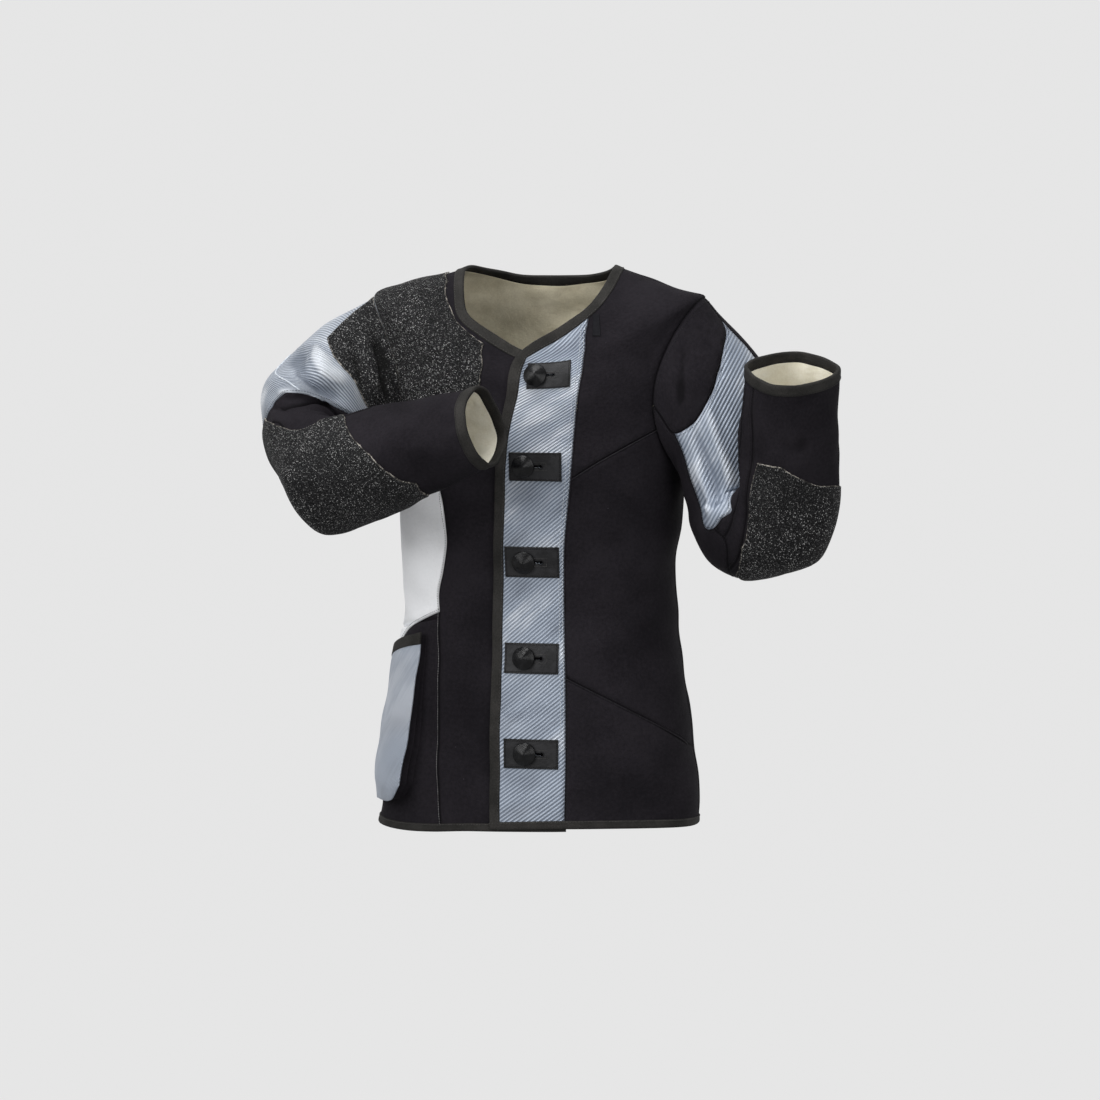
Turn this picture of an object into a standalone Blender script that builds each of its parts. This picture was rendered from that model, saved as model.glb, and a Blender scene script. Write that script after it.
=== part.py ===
"""Shooting jacket as worn by nobody: filled-out body, both sleeves bent, front buttoned."""
import math

import bpy
import numpy as np
from mathutils import Vector
from mathutils.geometry import delaunay_2d_cdt

for item in list(bpy.data.objects):
    bpy.data.objects.remove(item, do_unlink=True)

# Rings of the body: name, up, z front, z side, z back, half width, front depth, back depth
RINGS = [
    ("hem", 0.000, -0.676, -0.676, -0.676, 0.196, 0.128, 0.120),
    ("hip", 0.100, -0.576, -0.576, -0.576, 0.189, 0.124, 0.118),
    ("high_hip", 0.190, -0.486, -0.486, -0.486, 0.176, 0.115, 0.106),
    ("waist", 0.285, -0.391, -0.391, -0.391, 0.166, 0.106, 0.094),
    ("rib", 0.370, -0.306, -0.306, -0.306, 0.171, 0.112, 0.102),
    ("chest", 0.456, -0.220, -0.220, -0.220, 0.181, 0.121, 0.114),
    ("arm_mid", 0.540, -0.155, -0.125, -0.135, 0.190, 0.122, 0.118),
    ("tip", 0.620, -0.104, -0.036, -0.078, 0.200, 0.112, 0.108),
    ("ridge_outer", 0.655, -0.080, -0.024, -0.055, 0.165, 0.104, 0.101),
    ("ridge_inner", 0.695, -0.055, -0.011, -0.033, 0.125, 0.092, 0.090),
    ("neck", 0.730, -0.030, 0.000, -0.015, 0.088, 0.080, 0.078),
]
ROUND = 2.3
UNDERLAP = 0.0054
ARMHOLE = {"front": 38.0, "back": 36.0, "top": 0.620, "bottom": 0.440, "egg": 2.2, "steps": 36}
# Centres of shoulder, elbow and cuff
ARM_POINTS = {
    1: ((0.1845, -0.0075, -0.1475), (0.3049, -0.0726, -0.3220), (0.3288, -0.1437, -0.1124)),
    -1: ((-0.1836, -0.0044, -0.1082), (-0.2665, -0.1649, -0.2421), (-0.0135, -0.2360, -0.1798)),
}
# Rings of a sleeve: name, share of its stretch, share of armhole, pit, out, far side, near side
SLEEVE_ROWS = {
    1: [
        ("cap", 0.35, 0.62, 0.084, 0.072, 0.142, 0.063),
        ("upper", 0.70, 0.25, 0.058, 0.081, 0.114, 0.064),
        ("above_elbow", 1.0, 0, 0.036, 0.092, 0.092, 0.067),
        ("turn_1", 0.17, 0, 0.030, 0.100, 0.078, 0.075),
        ("turn_2", 0.33, 0, 0.030, 0.093, 0.070, 0.078),
        ("turn_3", 0.50, 0, 0.032, 0.083, 0.063, 0.073),
        ("turn_4", 0.67, 0, 0.034, 0.081, 0.058, 0.068),
        ("turn_5", 0.83, 0, 0.035, 0.072, 0.055, 0.065),
        ("below_elbow", 0.0, 0, 0.036, 0.064, 0.054, 0.064),
        ("forearm", 0.33, 0, 0.042, 0.057, 0.056, 0.063),
        ("wrist", 0.67, 0, 0.046, 0.050, 0.055, 0.060),
        ("cuff", 1.0, 0, 0.049, 0.044, 0.053, 0.055),
    ],
    -1: [
        ("cap", 0.35, 0.62, 0.067, 0.122, 0.108, 0.058),
        ("upper", 0.70, 0.25, 0.058, 0.097, 0.101, 0.070),
        ("above_elbow", 1.0, 0, 0.050, 0.077, 0.092, 0.079),
        ("turn_1", 0.17, 0, 0.047, 0.059, 0.082, 0.085),
        ("turn_2", 0.33, 0, 0.046, 0.051, 0.075, 0.090),
        ("turn_3", 0.50, 0, 0.046, 0.047, 0.072, 0.094),
        ("turn_4", 0.67, 0, 0.045, 0.055, 0.068, 0.094),
        ("turn_5", 0.83, 0, 0.044, 0.071, 0.064, 0.084),
        ("below_elbow", 0.0, 0, 0.043, 0.068, 0.060, 0.075),
        ("forearm", 0.33, 0, 0.043, 0.064, 0.055, 0.067),
        ("wrist", 0.67, 0, 0.046, 0.054, 0.051, 0.052),
        ("cuff", 1.0, 0, 0.047, 0.040, 0.047, 0.042),
    ],
}
PIT_GAP = 0.008
CUT = {1: -260.0, -1: -70.0}
AROUND = 0.072

CANVAS, LINING, TAPE, PATCH, GAP = 0.0020, 0.0010, 0.0011, 0.0016, 0.0003
SEAM = 0.00015
STEP, EDGE, GRID = 0.024, 0.021, 0.032

# Edges and seams of the body: angle from the front toward the wearer's left, distance up
FRONT_EDGE = [(-7.5, 0.012), (-8.5, 0.166), (-9.2, 0.284), (-8.0, 0.380), (-6.0, 0.466), (-3.0, 0.544),
              (0.5, 0.634)]
NECK = [(0.5, 0.634), (14.5, 0.668), (33.5, 0.692), (52.0, 0.709), (70.0, 0.720), (90.0, 0.727),
        (130.0, 0.730), (180.0, 0.730),
        (230.0, 0.730), (270.0, 0.729), (301.0, 0.722), (317.5, 0.708), (331.5, 0.684), (349.5, 0.658),
         (360.0, 0.632), (374.0, 0.596)]
RIGHT_EDGE = [(374.0, 0.596), (374.0, 0.450), (374.0, 0.300), (374.0, 0.150), (374.0, 0.012)]
HEM = [(374.0, 0.012), (345.0, 0.008), (315.0, 0.002), (270.0, 0.000), (180.0, 0.000), (120.0, 0.002),
       (90.0, 0.006), (45.0, 0.015),
       (13.5, 0.016), (-7.5, 0.012)]
SEAMS = {
    "left_side": [(92, -0.01), (92, 0.10), (92, 0.25), (92, 0.38), (92.4, 0.440)],
    "left_shoulder": [(90, 0.610), (90, 0.66), (90, 0.75)],
    "right_shoulder": [(270, 0.610), (270, 0.66), (270, 0.75)],
    "left_upper": [(17, 0.428), (28, 0.450), (46, 0.476), (60.5, 0.490)],
    "left_lower": [(15, 0.194), (32.5, 0.168), (52, 0.142), (83, 0.106), (92, 0.10)],
    "placket": [(13.5, -0.01), (14.5, 0.110), (15, 0.194), (15, 0.262), (15, 0.348), (17, 0.428),
                (18, 0.504), (19, 0.578), (20.5, 0.636), (25.4, 0.660), (31.4, 0.685), (36, 0.710)],
    "right_side": [(255, -0.01), (255, 0.10), (255, 0.205), (256, 0.35), (262, 0.439)],
    "right_front": [(334, -0.01), (329, 0.162), (324.5, 0.266), (324, 0.285), (327, 0.318),
                    (329.5, 0.354), (329, 0.408), (325, 0.440), (316, 0.470), (304, 0.492)],
    "hip_top": [(255, 0.205), (272, 0.212), (289.5, 0.224), (296.5, 0.238), (312, 0.254), (324.5, 0.266)],
}
BODY_SEEDS = {
    "placket": (6, 0.27), "front_left_lower": (50, 0.06), "front_left_middle": (50, 0.30),
                "front_left_upper": (40, 0.58),
    "back": (180, 0.35), "side_right_upper": (290, 0.35), "side_right_lower": (290, 0.02),
             "front_right": (345, 0.30),
}
SHOULDER_PATCH = [(271, 0.628), (271, 0.708), (298, 0.705), (323.5, 0.678), (331.5, 0.664),
                  (348.5, 0.638), (349.5, 0.598), (348, 0.556), (347, 0.500), (330, 0.492),
                  (307, 0.500)]
TAG = [(31.5, 0.676), (34, 0.672), (27, 0.638), (24.5, 0.642)]
POCKET = [(318, 0.240), (320, 0.172), (323, 0.100), (324, 0.055), (320, 0.036), (300, 0.030),
          (278, 0.030), (274, 0.045), (275, 0.120), (279, 0.200), (281, 0.214)]
POCKET_BAND = [(276, 0.1975), (298, 0.2122), (322, 0.2290)]
# How far the pocket's face stands off at its front edge: distance up, height; its share at the rear edge
POCKET_HEIGHT = [(0.030, 0.018), (0.060, 0.026), (0.120, 0.023), (0.200, 0.014), (0.240, 0.0095)]
POCKET_REAR = {"from": 276, "to": 316, "share": 0.2}
# Button plates: left x, right x, low and high distance up, button x
PLATES = [
    (0.0100, 0.0610, 0.562, 0.610, 0.0200), (-0.0115, 0.0510, 0.426, 0.462, 0.0060),
     (-0.0190, 0.0460, 0.312, 0.349, 0.0040),
    (-0.0190, 0.0460, 0.198, 0.234, 0.0050), (-0.0175, 0.0480, 0.086, 0.121, 0.0080),
]
# Buttonhole slot: reach to each side of the button's middle, half height
SLOT = {"left": 0.0026, "right": 0.0265, "tall": 0.0021, "tall_first": 0.0032}
# Button: shank radius, and radius and height of each ring of its dome
SHANK = 0.0015
BUTTON_DOME = [
    (0.0115, 0.0), (0.0135, 0.0012), (0.0134, 0.0028), (0.0098, 0.0058), (0.0040, 0.0086), (0, 0.0094),
]
# Lining behind the neck, on the body's inside
BACK_LINING = [(62, 0.53), (100, 0.50), (180, 0.49), (260, 0.50), (298, 0.53), (298, 0.75), (62, 0.75)]
# Seams and patches of the sleeves: turn around the tube, distance along
SLEEVE_SEAMS = {
    1: {
        "cap_edge": [(30, -0.01), (30, 0.0215), (10, 0.042), (-2.5, 0.057), (-27.5, 0.0655),
                     (-47.5, 0.0677), (-77.5, 0.0495), (-79, -0.01)],
        "silver_front": [(-77.5, 0.0495), (-90, 0.0973), (-95, 0.205), (-80, 0.258), (-45, 0.235),
                         (0, 0.205), (33, 0.170), (35, 0.100), (30, 0.0215)],
        "elbow": [(-265, 0.210), (-180, 0.185), (-135, 0.205), (-102.5, 0.220), (-95, 0.205)],
        "elbow_back": [(33, 0.170), (60, 0.190), (105, 0.210)],
        "strip_front": [(-102.5, 0.220), (-85, 0.270), (-72.5, 0.3256), (-67.5, 0.429), (-57, 0.50)],
        "strip_back": [(-135, 0.205), (-123, 0.228), (-102, 0.265), (-95.5, 0.300), (-94.2, 0.335),
                       (-95, 0.374), (-83, 0.50)],
    },
    -1: {
        "silver_back": [(150, -0.01), (150, 0.06), (150, 0.14), (150, 0.203)],
        "silver_front": [(-12, -0.01), (-12, 0.05), (-8, 0.105)],
        "gusset_top": [(150, 0.203), (117.5, 0.2045), (100, 0.200), (82, 0.198), (50, 0.190),
                       (20, 0.145), (-8, 0.105)],
        "gusset_low": [(150, 0.203), (130, 0.228), (110, 0.255), (105, 0.303), (80, 0.3887),
                       (70, 0.415), (50, 0.360), (20, 0.260), (-8, 0.190), (-8, 0.105)],
        "elbow": [(150, 0.203), (200, 0.240), (240, 0.245), (295, 0.205)],
        "elbow_back": [(-75, 0.205), (-40, 0.190), (-8, 0.190)],
    },
}
SLEEVE_SEEDS = {
    1: {
        "cap": (-40, 0.03), "silver": (-40, 0.14), "under": (-180, 0.08), "strip": (-85, 0.38),
        "forearm": (-180, 0.38),
    },
    -1: {"silver": (70, 0.10), "under": (220, 0.12), "gusset": (85, 0.28), "forearm": (200, 0.45)},
}
SLEEVE_PATCHES = {
    1: {
        "grip_elbow_left": [(-103.8, 0.3665), (-135, 0.368), (-160, 0.351), (-180, 0.338), (-210, 0.330),
                            (-232, 0.320), (-236, 0.262), (-232, 0.218), (-180, 0.195), (-140, 0.211),
                            (-114, 0.245), (-101.5, 0.278), (-98.5, 0.320), (-100, 0.343)],
    },
    -1: {
        "grip_wing_right": [(103, 0.007), (94, 0.0355), (87, 0.082), (61, 0.1003), (45, 0.102),
                            (32, 0.098), (14, 0.099),
                            (-3, 0.092), (-8, 0.050), (-6, 0.007)],
        "grip_elbow_right": [(130.5, 0.204), (116.5, 0.243), (108, 0.274), (103, 0.3025), (91, 0.349),
                             (76, 0.385), (103, 0.400), (121, 0.412), (144, 0.431), (167, 0.4435),
                             (182, 0.454), (193, 0.468), (228, 0.465), (240, 0.458), (252, 0.400),
                             (254, 0.320), (238, 0.262), (185, 0.222), (150, 0.204)],
    },
}

# name: colour, roughness, metallic
COLOURS = {
    "black": ((0.017, 0.015, 0.020), 0.86, 0.0),
    "silver": ((0.36, 0.41, 0.49), 0.50, 0.15),
    "grey": ((0.66, 0.70, 0.73), 0.75, 0.0),
    "grip": ((0.035, 0.035, 0.037), 0.90, 0.0),
    "tape": ((0.045, 0.042, 0.038), 0.80, 0.0),
    "tan": ((0.40, 0.36, 0.25), 0.95, 0.0),
    "leather": ((0.012, 0.012, 0.013), 0.45, 0.0),
    "button": ((0.006, 0.006, 0.007), 0.22, 0.0),
}
PIECE_COLOUR = {
    "placket": "silver", "side_right_upper": "grey", "sleeve_left_silver": "silver",
    "sleeve_right_silver": "silver", "pocket_front": "silver",
}


def curve(xs, ys, at):
    """Smooth curve through a table, held to the table between its turning points."""
    xs, ys = np.asarray(xs, float), np.asarray(ys, float)
    h = np.diff(xs)
    tall = h if ys.ndim == 1 else h.reshape((-1,) + (1,) * (ys.ndim - 1))
    d = np.diff(ys, axis=0) / tall
    m = np.empty_like(ys)
    m[0], m[-1] = d[0], d[-1]
    w = tall[1:] / (tall[1:] + tall[:-1])
    m[1:-1] = d[:-1] * w + d[1:] * (1 - w)
    if ys.ndim == 1:
        lim = np.where(d[:-1] * d[1:] > 0, 3 * np.minimum(np.abs(d[:-1]), np.abs(d[1:])), 0)
        m[1:-1] = np.clip(m[1:-1], -lim, lim)
    at = np.clip(np.asarray(at, float), xs[0], xs[-1])
    i = np.clip(np.searchsorted(xs, at, side="right") - 1, 0, len(xs) - 2)
    t, hh = (at - xs[i]) / h[i], h[i]
    if ys.ndim == 1:
        y0, y1, m0, m1 = ys[i], ys[i + 1], m[i], m[i + 1]
    else:
        k = np.arange(len(at))
        t, hh = t[:, None], hh[:, None]
        if ys.ndim == 3:
            y0, y1, m0, m1 = ys[i, k], ys[i + 1, k], m[i, k], m[i + 1, k]
        else:
            y0, y1, m0, m1 = ys[i], ys[i + 1], m[i], m[i + 1]
    return ((2 * t**3 - 3 * t**2 + 1) * y0 + (t**3 - 2 * t**2 + t) * hh * m0
            + (3 * t**2 - 2 * t**3) * y1 + (t**3 - t**2) * hh * m1)


def unit(v):
    v = np.asarray(v, float)
    return v / (np.linalg.norm(v, axis=-1, keepdims=True) + 1e-15)


def smooth_step(a, b, x):
    t = np.clip((np.asarray(x, float) - a) / (b - a), 0, 1)
    return t * t * (3 - 2 * t)


def paired(a, b):
    return np.broadcast_arrays(np.atleast_1d(np.asarray(a, float)), np.atleast_1d(np.asarray(b, float)))


def superellipse(centre, p, w, c, s, pit, out, far, near):
    """Ring round a centre, with its own reach on each of four sides."""
    across, upward = np.where(c > 0, pit, out) * c, np.where(s > 0, far, near) * s
    return centre + p * across[:, None] + w * upward[:, None]


def body_point(angle, up):
    """Outer face of the body's cloth."""
    angle, up = paired(angle, up)
    t = np.radians(angle)
    zf, zs, zb, hw, fd, bd = (curve([r[1] for r in RINGS], [r[k] for r in RINGS], up) for k in range(2, 8))
    s, c = np.sin(t), np.cos(t)
    e = 2 / ROUND
    x = hw * np.sign(s) * np.abs(s) ** e
    y = -np.where(c > 0, fd, bd) * np.sign(c) * np.abs(c) ** e
    z = zs + (np.where(c > 0, zf, zb) - zs) * c * c
    y = y + UNDERLAP * smooth_step(330, 346, angle)
    return np.stack([x, y, z], axis=-1)


def arm_axes(side):
    s, e, c = (np.array(p) for p in ARM_POINTS[side])
    u1, u2 = unit(e - s), unit(c - e)
    w = unit(np.cross(u1, u2))
    w = -w if w[2] < 0 else w
    b = unit(unit(s - e) + u2)
    pit1, pit2 = unit(b - u1 * (b @ u1)), unit(b - u2 * (b @ u2))
    half = math.acos(float(np.clip(unit(s - e) @ u2, -1, 1))) / 2
    hinge = [r for r in SLEEVE_ROWS[side] if r[0] == "turn_3"][0][3] + PIT_GAP
    foot = hinge / math.tan(half)
    turn = math.atan2(float(np.cross(pit1, pit2) @ w), float(pit1 @ pit2))
    return {"s": s, "c": c, "u1": u1, "u2": u2, "w": w, "pit": pit1, "turn": turn, "hinge": hinge,
            "h": e + b * hinge / math.sin(half),
            "l1": np.linalg.norm(e - s) - foot, "l2": np.linalg.norm(c - e) - foot}


def egg(side, t):
    """Armhole as angle and distance up; t goes round it."""
    c, s = np.cos(t), np.sin(t)
    e = 2 / ARMHOLE["egg"]
    c, s = np.sign(c) * np.abs(c) ** e, np.sign(s) * np.abs(s) ** e
    off = np.where(c > 0, ARMHOLE["front"], ARMHOLE["back"]) * c
    mid, half = (ARMHOLE["top"] + ARMHOLE["bottom"]) / 2, (ARMHOLE["top"] - ARMHOLE["bottom"]) / 2
    return (90 - off if side > 0 else 270 + off), mid + half * s


def rounded(turn):
    c, s = np.cos(turn), np.sin(turn)
    e = 2 / ROUND
    return np.sign(c) * np.abs(c) ** e, np.sign(s) * np.abs(s) ** e


def shares(points):
    """Share of the way round a closed line at each of its points."""
    d = np.concatenate([[0], np.cumsum(np.linalg.norm(np.diff(points, axis=0), axis=1))])
    return d / d[-1]


def match_armhole(side):
    """Armhole parameter for each angle around the sleeve: equal shares of both lines, with least twist."""
    ax = AXES[side]
    t = np.linspace(0, 2 * np.pi, 721)
    c, s = rounded(t)
    _, _, _, pit, out, far, near = SLEEVE_ROWS[side][1]
    ring = superellipse(ax["s"], ax["pit"], ax["w"], c, s, pit, out, far, near)
    hole = body_point(*egg(side, t))
    on_ring, on_hole = shares(ring), shares(hole)
    best = None
    for way in (1, -1):
        for start in np.arange(0, 1, 0.005):
            place = (way * on_ring[::12] + start) % 1
            off = np.stack([np.interp(place, on_hole, hole[:, k]) for k in range(3)], axis=1) - ring[::12]
            miss = (off ** 2).sum()
            if best is None or miss < best[0]:
                best = (miss, way, start)
    place = best[1] * on_ring + best[2]
    return t, np.interp(place % 1, on_hole, t) + 2 * np.pi * np.floor(place)


def armhole_at(side, turn):
    """Armhole point that a sleeve meridian starts from, as angle and distance up."""
    t, hole = MATCH[side]
    return egg(side, np.interp(np.mod(turn, 2 * np.pi), t, hole))


def sleeve_rings(side, turn):
    """Ring points for each angle around a sleeve, and each ring's distance along."""
    ax = AXES[side]
    c, s = rounded(turn)
    first = body_point(*armhole_at(side, turn))
    rings, along, turned = [first], [0.0], False
    for name, share, blend, pit, out, far, near in SLEEVE_ROWS[side]:
        turning = name.startswith("turn")
        turned = turned or turning
        q = ax["turn"] * share if turning else (ax["turn"] if turned else 0.0)
        p = ax["pit"] * math.cos(q) + np.cross(ax["w"], ax["pit"]) * math.sin(q)
        if turning:
            o, pos = ax["h"] - p * ax["hinge"], ax["l1"] + 2 * ax["hinge"] * abs(q)
        elif not turned:
            o, pos = ax["s"] + ax["u1"] * ax["l1"] * share, ax["l1"] * share
        else:
            o = ax["c"] - ax["u2"] * ax["l2"] * (1 - share)
            pos = ax["l1"] + 2 * ax["hinge"] * abs(q) + ax["l2"] * share
        ring = superellipse(o, p, ax["w"], c, s, pit, out, far, near)
        ring = ring * (1 - blend) + (first + ax["u1"] * ax["l1"] * share) * blend
        rings.append(ring)
        along.append(pos)
    return np.array(along), np.array(rings)


def sleeve_point(side, turn, along):
    """Outer face of a sleeve's cloth; turn in degrees."""
    turn, along = paired(turn, along)
    pos, rings = sleeve_rings(side, np.radians(turn))
    return curve(pos, rings, along)


AXES = {side: arm_axes(side) for side in (1, -1)}
MATCH = {side: match_armhole(side) for side in (1, -1)}
LENGTH = {side: float(sleeve_rings(side, np.zeros(1))[0][-1]) for side in (1, -1)}

# Distance around the chest for each angle, used to lay the body out flat
_deg = np.arange(-20, 390.5, 0.5)
_ring = body_point(_deg, np.full(len(_deg), 0.40))
_ring[:, 1] -= UNDERLAP * smooth_step(330, 346, _deg)
_arc = np.concatenate([[0], np.cumsum(np.linalg.norm(np.diff(_ring, axis=0), axis=1))])
_arc -= np.interp(0, _deg, _arc)


class Surface:
    """A cloth surface with flat coordinates and shared normals."""

    def __init__(self, side=0):
        self.side = side

    def flat(self, pts):
        pts = np.asarray(pts, float).reshape(-1, 2)
        x = np.interp(pts[:, 0], _deg, _arc) if self.side == 0 else np.radians(pts[:, 0]) * AROUND
        return np.stack([x, pts[:, 1]], axis=1)

    def unflat(self, xy):
        xy = np.asarray(xy, float).reshape(-1, 2)
        a = np.interp(xy[:, 0], _arc, _deg) if self.side == 0 else np.degrees(xy[:, 0] / AROUND)
        return np.stack([a, xy[:, 1]], axis=1)

    def point(self, uv):
        if self.side == 0:
            return body_point(uv[:, 0], uv[:, 1])
        return sleeve_point(self.side, uv[:, 0], uv[:, 1])

    def slopes(self, uv):
        top = RINGS[-1][1] if self.side == 0 else LENGTH[self.side]
        du, dv = np.array([0.6, 0]), np.array([0, 0.0015])
        uv = np.stack([uv[:, 0], np.clip(uv[:, 1], 0, top)], axis=1)
        lo, hi = uv - dv, uv + dv
        lo[:, 1], hi[:, 1] = np.clip(lo[:, 1], 0, top), np.clip(hi[:, 1], 0, top)
        a = (self.point(uv + du) - self.point(uv - du)) / 1.2
        b = (self.point(hi) - self.point(lo)) / (hi[:, 1] - lo[:, 1])[:, None]
        return a, b

    def normal(self, uv):
        a, b = self.slopes(uv)
        n = unit(np.cross(a, b))
        return n * OUTWARD[self.side]

    def step_in(self, line, distance, left=True):
        """Line moved over the surface, square to itself."""
        uv = np.asarray(line, float)
        p, (a, b), n = self.point(uv), self.slopes(uv), self.normal(uv)
        t = np.gradient(p, axis=0)
        d = unit(np.cross(n, t)) * distance * (1 if left else -1)
        out = []
        for k in range(len(uv)):
            j = np.stack([a[k], b[k]], axis=1)
            out.append(uv[k] + np.linalg.lstsq(j, d[k], rcond=None)[0])
        return np.array(out)


OUTWARD = {0: 1.0, 1: 1.0, -1: 1.0}
SURFACES = {k: Surface(k) for k in (0, 1, -1)}
for k in (0, 1, -1):
    sample = np.array([[180.0, 0.2 if k == 0 else 0.9 * LENGTH[k]]])
    inside = np.array([[0, 0, -0.4]]) if k == 0 else (AXES[k]["c"] - AXES[k]["u2"] * 0.04)[None]
    if ((SURFACES[k].point(sample) - inside) * SURFACES[k].normal(sample)).sum() < 0:
        OUTWARD[k] = -1.0


def smooth_line(surface, pts, step=STEP, bend=True):
    """Table points kept, with points between them on a smooth curve."""
    xy = surface.flat(pts)
    gap = np.linalg.norm(np.diff(xy, axis=0), axis=1)
    pos = np.concatenate([[0], np.cumsum(gap)])
    at = [0.0]
    for k in range(len(gap)):
        at += list(np.linspace(pos[k], pos[k + 1], max(1, math.ceil(gap[k] / step)) + 1)[1:])
    at = np.array(at)
    if bend and len(xy) > 2:
        return curve(pos, xy, at)
    return np.stack([np.interp(at, pos, xy[:, k]) for k in range(2)], axis=1)


def in_polygon(pts, poly):
    x, y = pts[:, 0], pts[:, 1]
    inside = np.zeros(len(pts), bool)
    for (x0, y0), (x1, y1) in zip(poly, np.roll(poly, -1, axis=0)):
        hit = (y0 > y) != (y1 > y)
        with np.errstate(divide="ignore", invalid="ignore"):
            inside ^= hit & (x < (x1 - x0) * (y - y0) / (y1 - y0) + x0)
    return inside


class Shell:
    """Flat pattern of one surface, cut into triangles along every seam and outline."""

    def __init__(self, side, outlines, seams, shapes, seeds, arm_points, wrap=None, grid=GRID):
        self.surface = SURFACES[side]
        self.side = side
        verts, edges, kinds = [], [], []

        def add(line, kind, closed=False):
            start = len(verts)
            verts.extend(map(tuple, line))
            n = len(line)
            for k in range(n if closed else n - 1):
                edges.append((start + k, start + (k + 1) % n))
                kinds.append(kind)

        for line in outlines:
            add(line, "edge", closed=True)
        for line in seams:
            add(line, "seam")
        for line in shapes.values():
            add(line, "shape", closed=True)
        dense = []
        for i, j in edges:
            a, b = np.array(verts[i]), np.array(verts[j])
            n = max(2, int(np.linalg.norm(b - a) / (0.3 * grid)) + 1)
            dense.append(a + (b - a) * np.linspace(0, 1, n)[:, None])
        dense = np.vstack(dense)
        lo, hi = outlines[0].min(axis=0), outlines[0].max(axis=0)
        gx, gy = np.meshgrid(*(np.arange(lo[k] + grid / 2, hi[k], grid) for k in range(2)))
        gx[1::2] += grid / 2
        pts = np.stack([gx.ravel(), gy.ravel()], axis=1)
        keep = in_polygon(pts, outlines[0])
        for hole in outlines[1:]:
            keep &= ~in_polygon(pts, hole)
        pts = pts[keep]
        for k in range(0, len(dense), 2000):
            d = np.linalg.norm(pts[:, None] - dense[None, k:k + 2000], axis=2).min(axis=1)
            pts = pts[d > 0.48 * grid]
        verts.extend(map(tuple, pts))
        out = delaunay_2d_cdt([Vector(v) for v in verts], edges, [], 0, 1e-6, True)
        xy = np.array([tuple(v) for v in out[0]])
        tris = np.array([f for f in out[2] if len(f) == 3])
        kind_of = {}
        for e, orig in zip(out[1], out[4]):
            names = {kinds[o] for o in orig if o < len(kinds)}
            if names:
                kind_of[tuple(sorted(e))] = names
        mid = xy[tris].mean(axis=1)
        keep = in_polygon(mid, outlines[0])
        for hole in outlines[1:]:
            keep &= ~in_polygon(mid, hole)
        tris, mid = tris[keep], mid[keep]
        remap = np.arange(len(xy))
        if wrap is not None:
            left = {round(v[1], 5): i for i, v in enumerate(xy) if abs(v[0] - wrap[0]) < 1e-5}
            for i, v in enumerate(xy):
                if abs(v[0] - wrap[1]) < 1e-5:
                    remap[i] = left[round(v[1], 5)]
        area = np.cross(xy[tris[:, 1]] - xy[tris[:, 0]], xy[tris[:, 2]] - xy[tris[:, 0]])
        tris[area < 0] = tris[area < 0][:, ::-1]
        self.xy, self.mid = xy, mid
        self.kinds = {}
        for (i, j), names in kind_of.items():
            self.kinds.setdefault(tuple(sorted((int(remap[i]), int(remap[j])))), set()).update(names)
        self.tris = remap[tris]
        if wrap is not None:
            for key in list(self.kinds):
                if abs(xy[key[0], 0] - wrap[0]) < 1e-5 and abs(xy[key[1], 0] - wrap[0]) < 1e-5:
                    self.kinds[key].discard("edge")
        self.uv = self.surface.unflat(xy)
        self.p = self.surface.point(self.uv)
        self.n = self.surface.normal(self.uv.copy())
        self.own = self.n.copy()
        self.facing()
        self.arm = {}
        for key, (pos, nrm, across) in arm_points.items():
            d = np.linalg.norm(xy - np.array(key), axis=1)
            for i in np.nonzero(d < 2e-6)[0]:
                i = int(remap[i])
                self.arm[i] = across
                self.p[i], self.n[i] = pos, nrm
        self.by_edge = {}
        for t, tri in enumerate(self.tris):
            for k in range(3):
                self.by_edge.setdefault(tuple(sorted((int(tri[k]), int(tri[(k + 1) % 3])))), []).append(t)
        self.label = np.full(len(self.tris), -1)
        self.names = list(seeds)
        for n, (name, at) in enumerate(seeds.items()):
            target = self.surface.flat([at])[0]
            start = int(np.argmin(np.linalg.norm(mid - target, axis=1)))
            if self.label[start] >= 0:
                raise ValueError("seed of %s lies in %s" % (name, self.names[self.label[start]]))
            stack = [start]
            self.label[start] = n
            while stack:
                t = stack.pop()
                tri = self.tris[t]
                for k in range(3):
                    key = tuple(sorted((int(tri[k]), int(tri[(k + 1) % 3]))))
                    if "seam" in self.kinds.get(key, ()):
                        continue
                    for o in self.by_edge[key]:
                        if self.label[o] < 0:
                            self.label[o] = n
                            stack.append(o)
        self.inside = {name: in_polygon(mid, line) for name, line in shapes.items()}

    def facing(self):
        """Triangles wound so that they face outward."""
        p = self.p[self.tris]
        f = np.cross(p[:, 1] - p[:, 0], p[:, 2] - p[:, 0])
        if (f * self.n[self.tris[:, 0]]).sum() < 0:
            self.tris = self.tris[:, ::-1]

    def pick(self, names=None, shapes=(), without=()):
        sel = np.ones(len(self.tris), bool)
        if names is not None:
            sel = np.isin(self.label, [self.names.index(n) for n in names])
        if shapes:
            sel &= np.any([self.inside[s] for s in shapes], axis=0)
        for s in without:
            sel &= ~self.inside[s]
        return np.nonzero(sel)[0]

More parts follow.
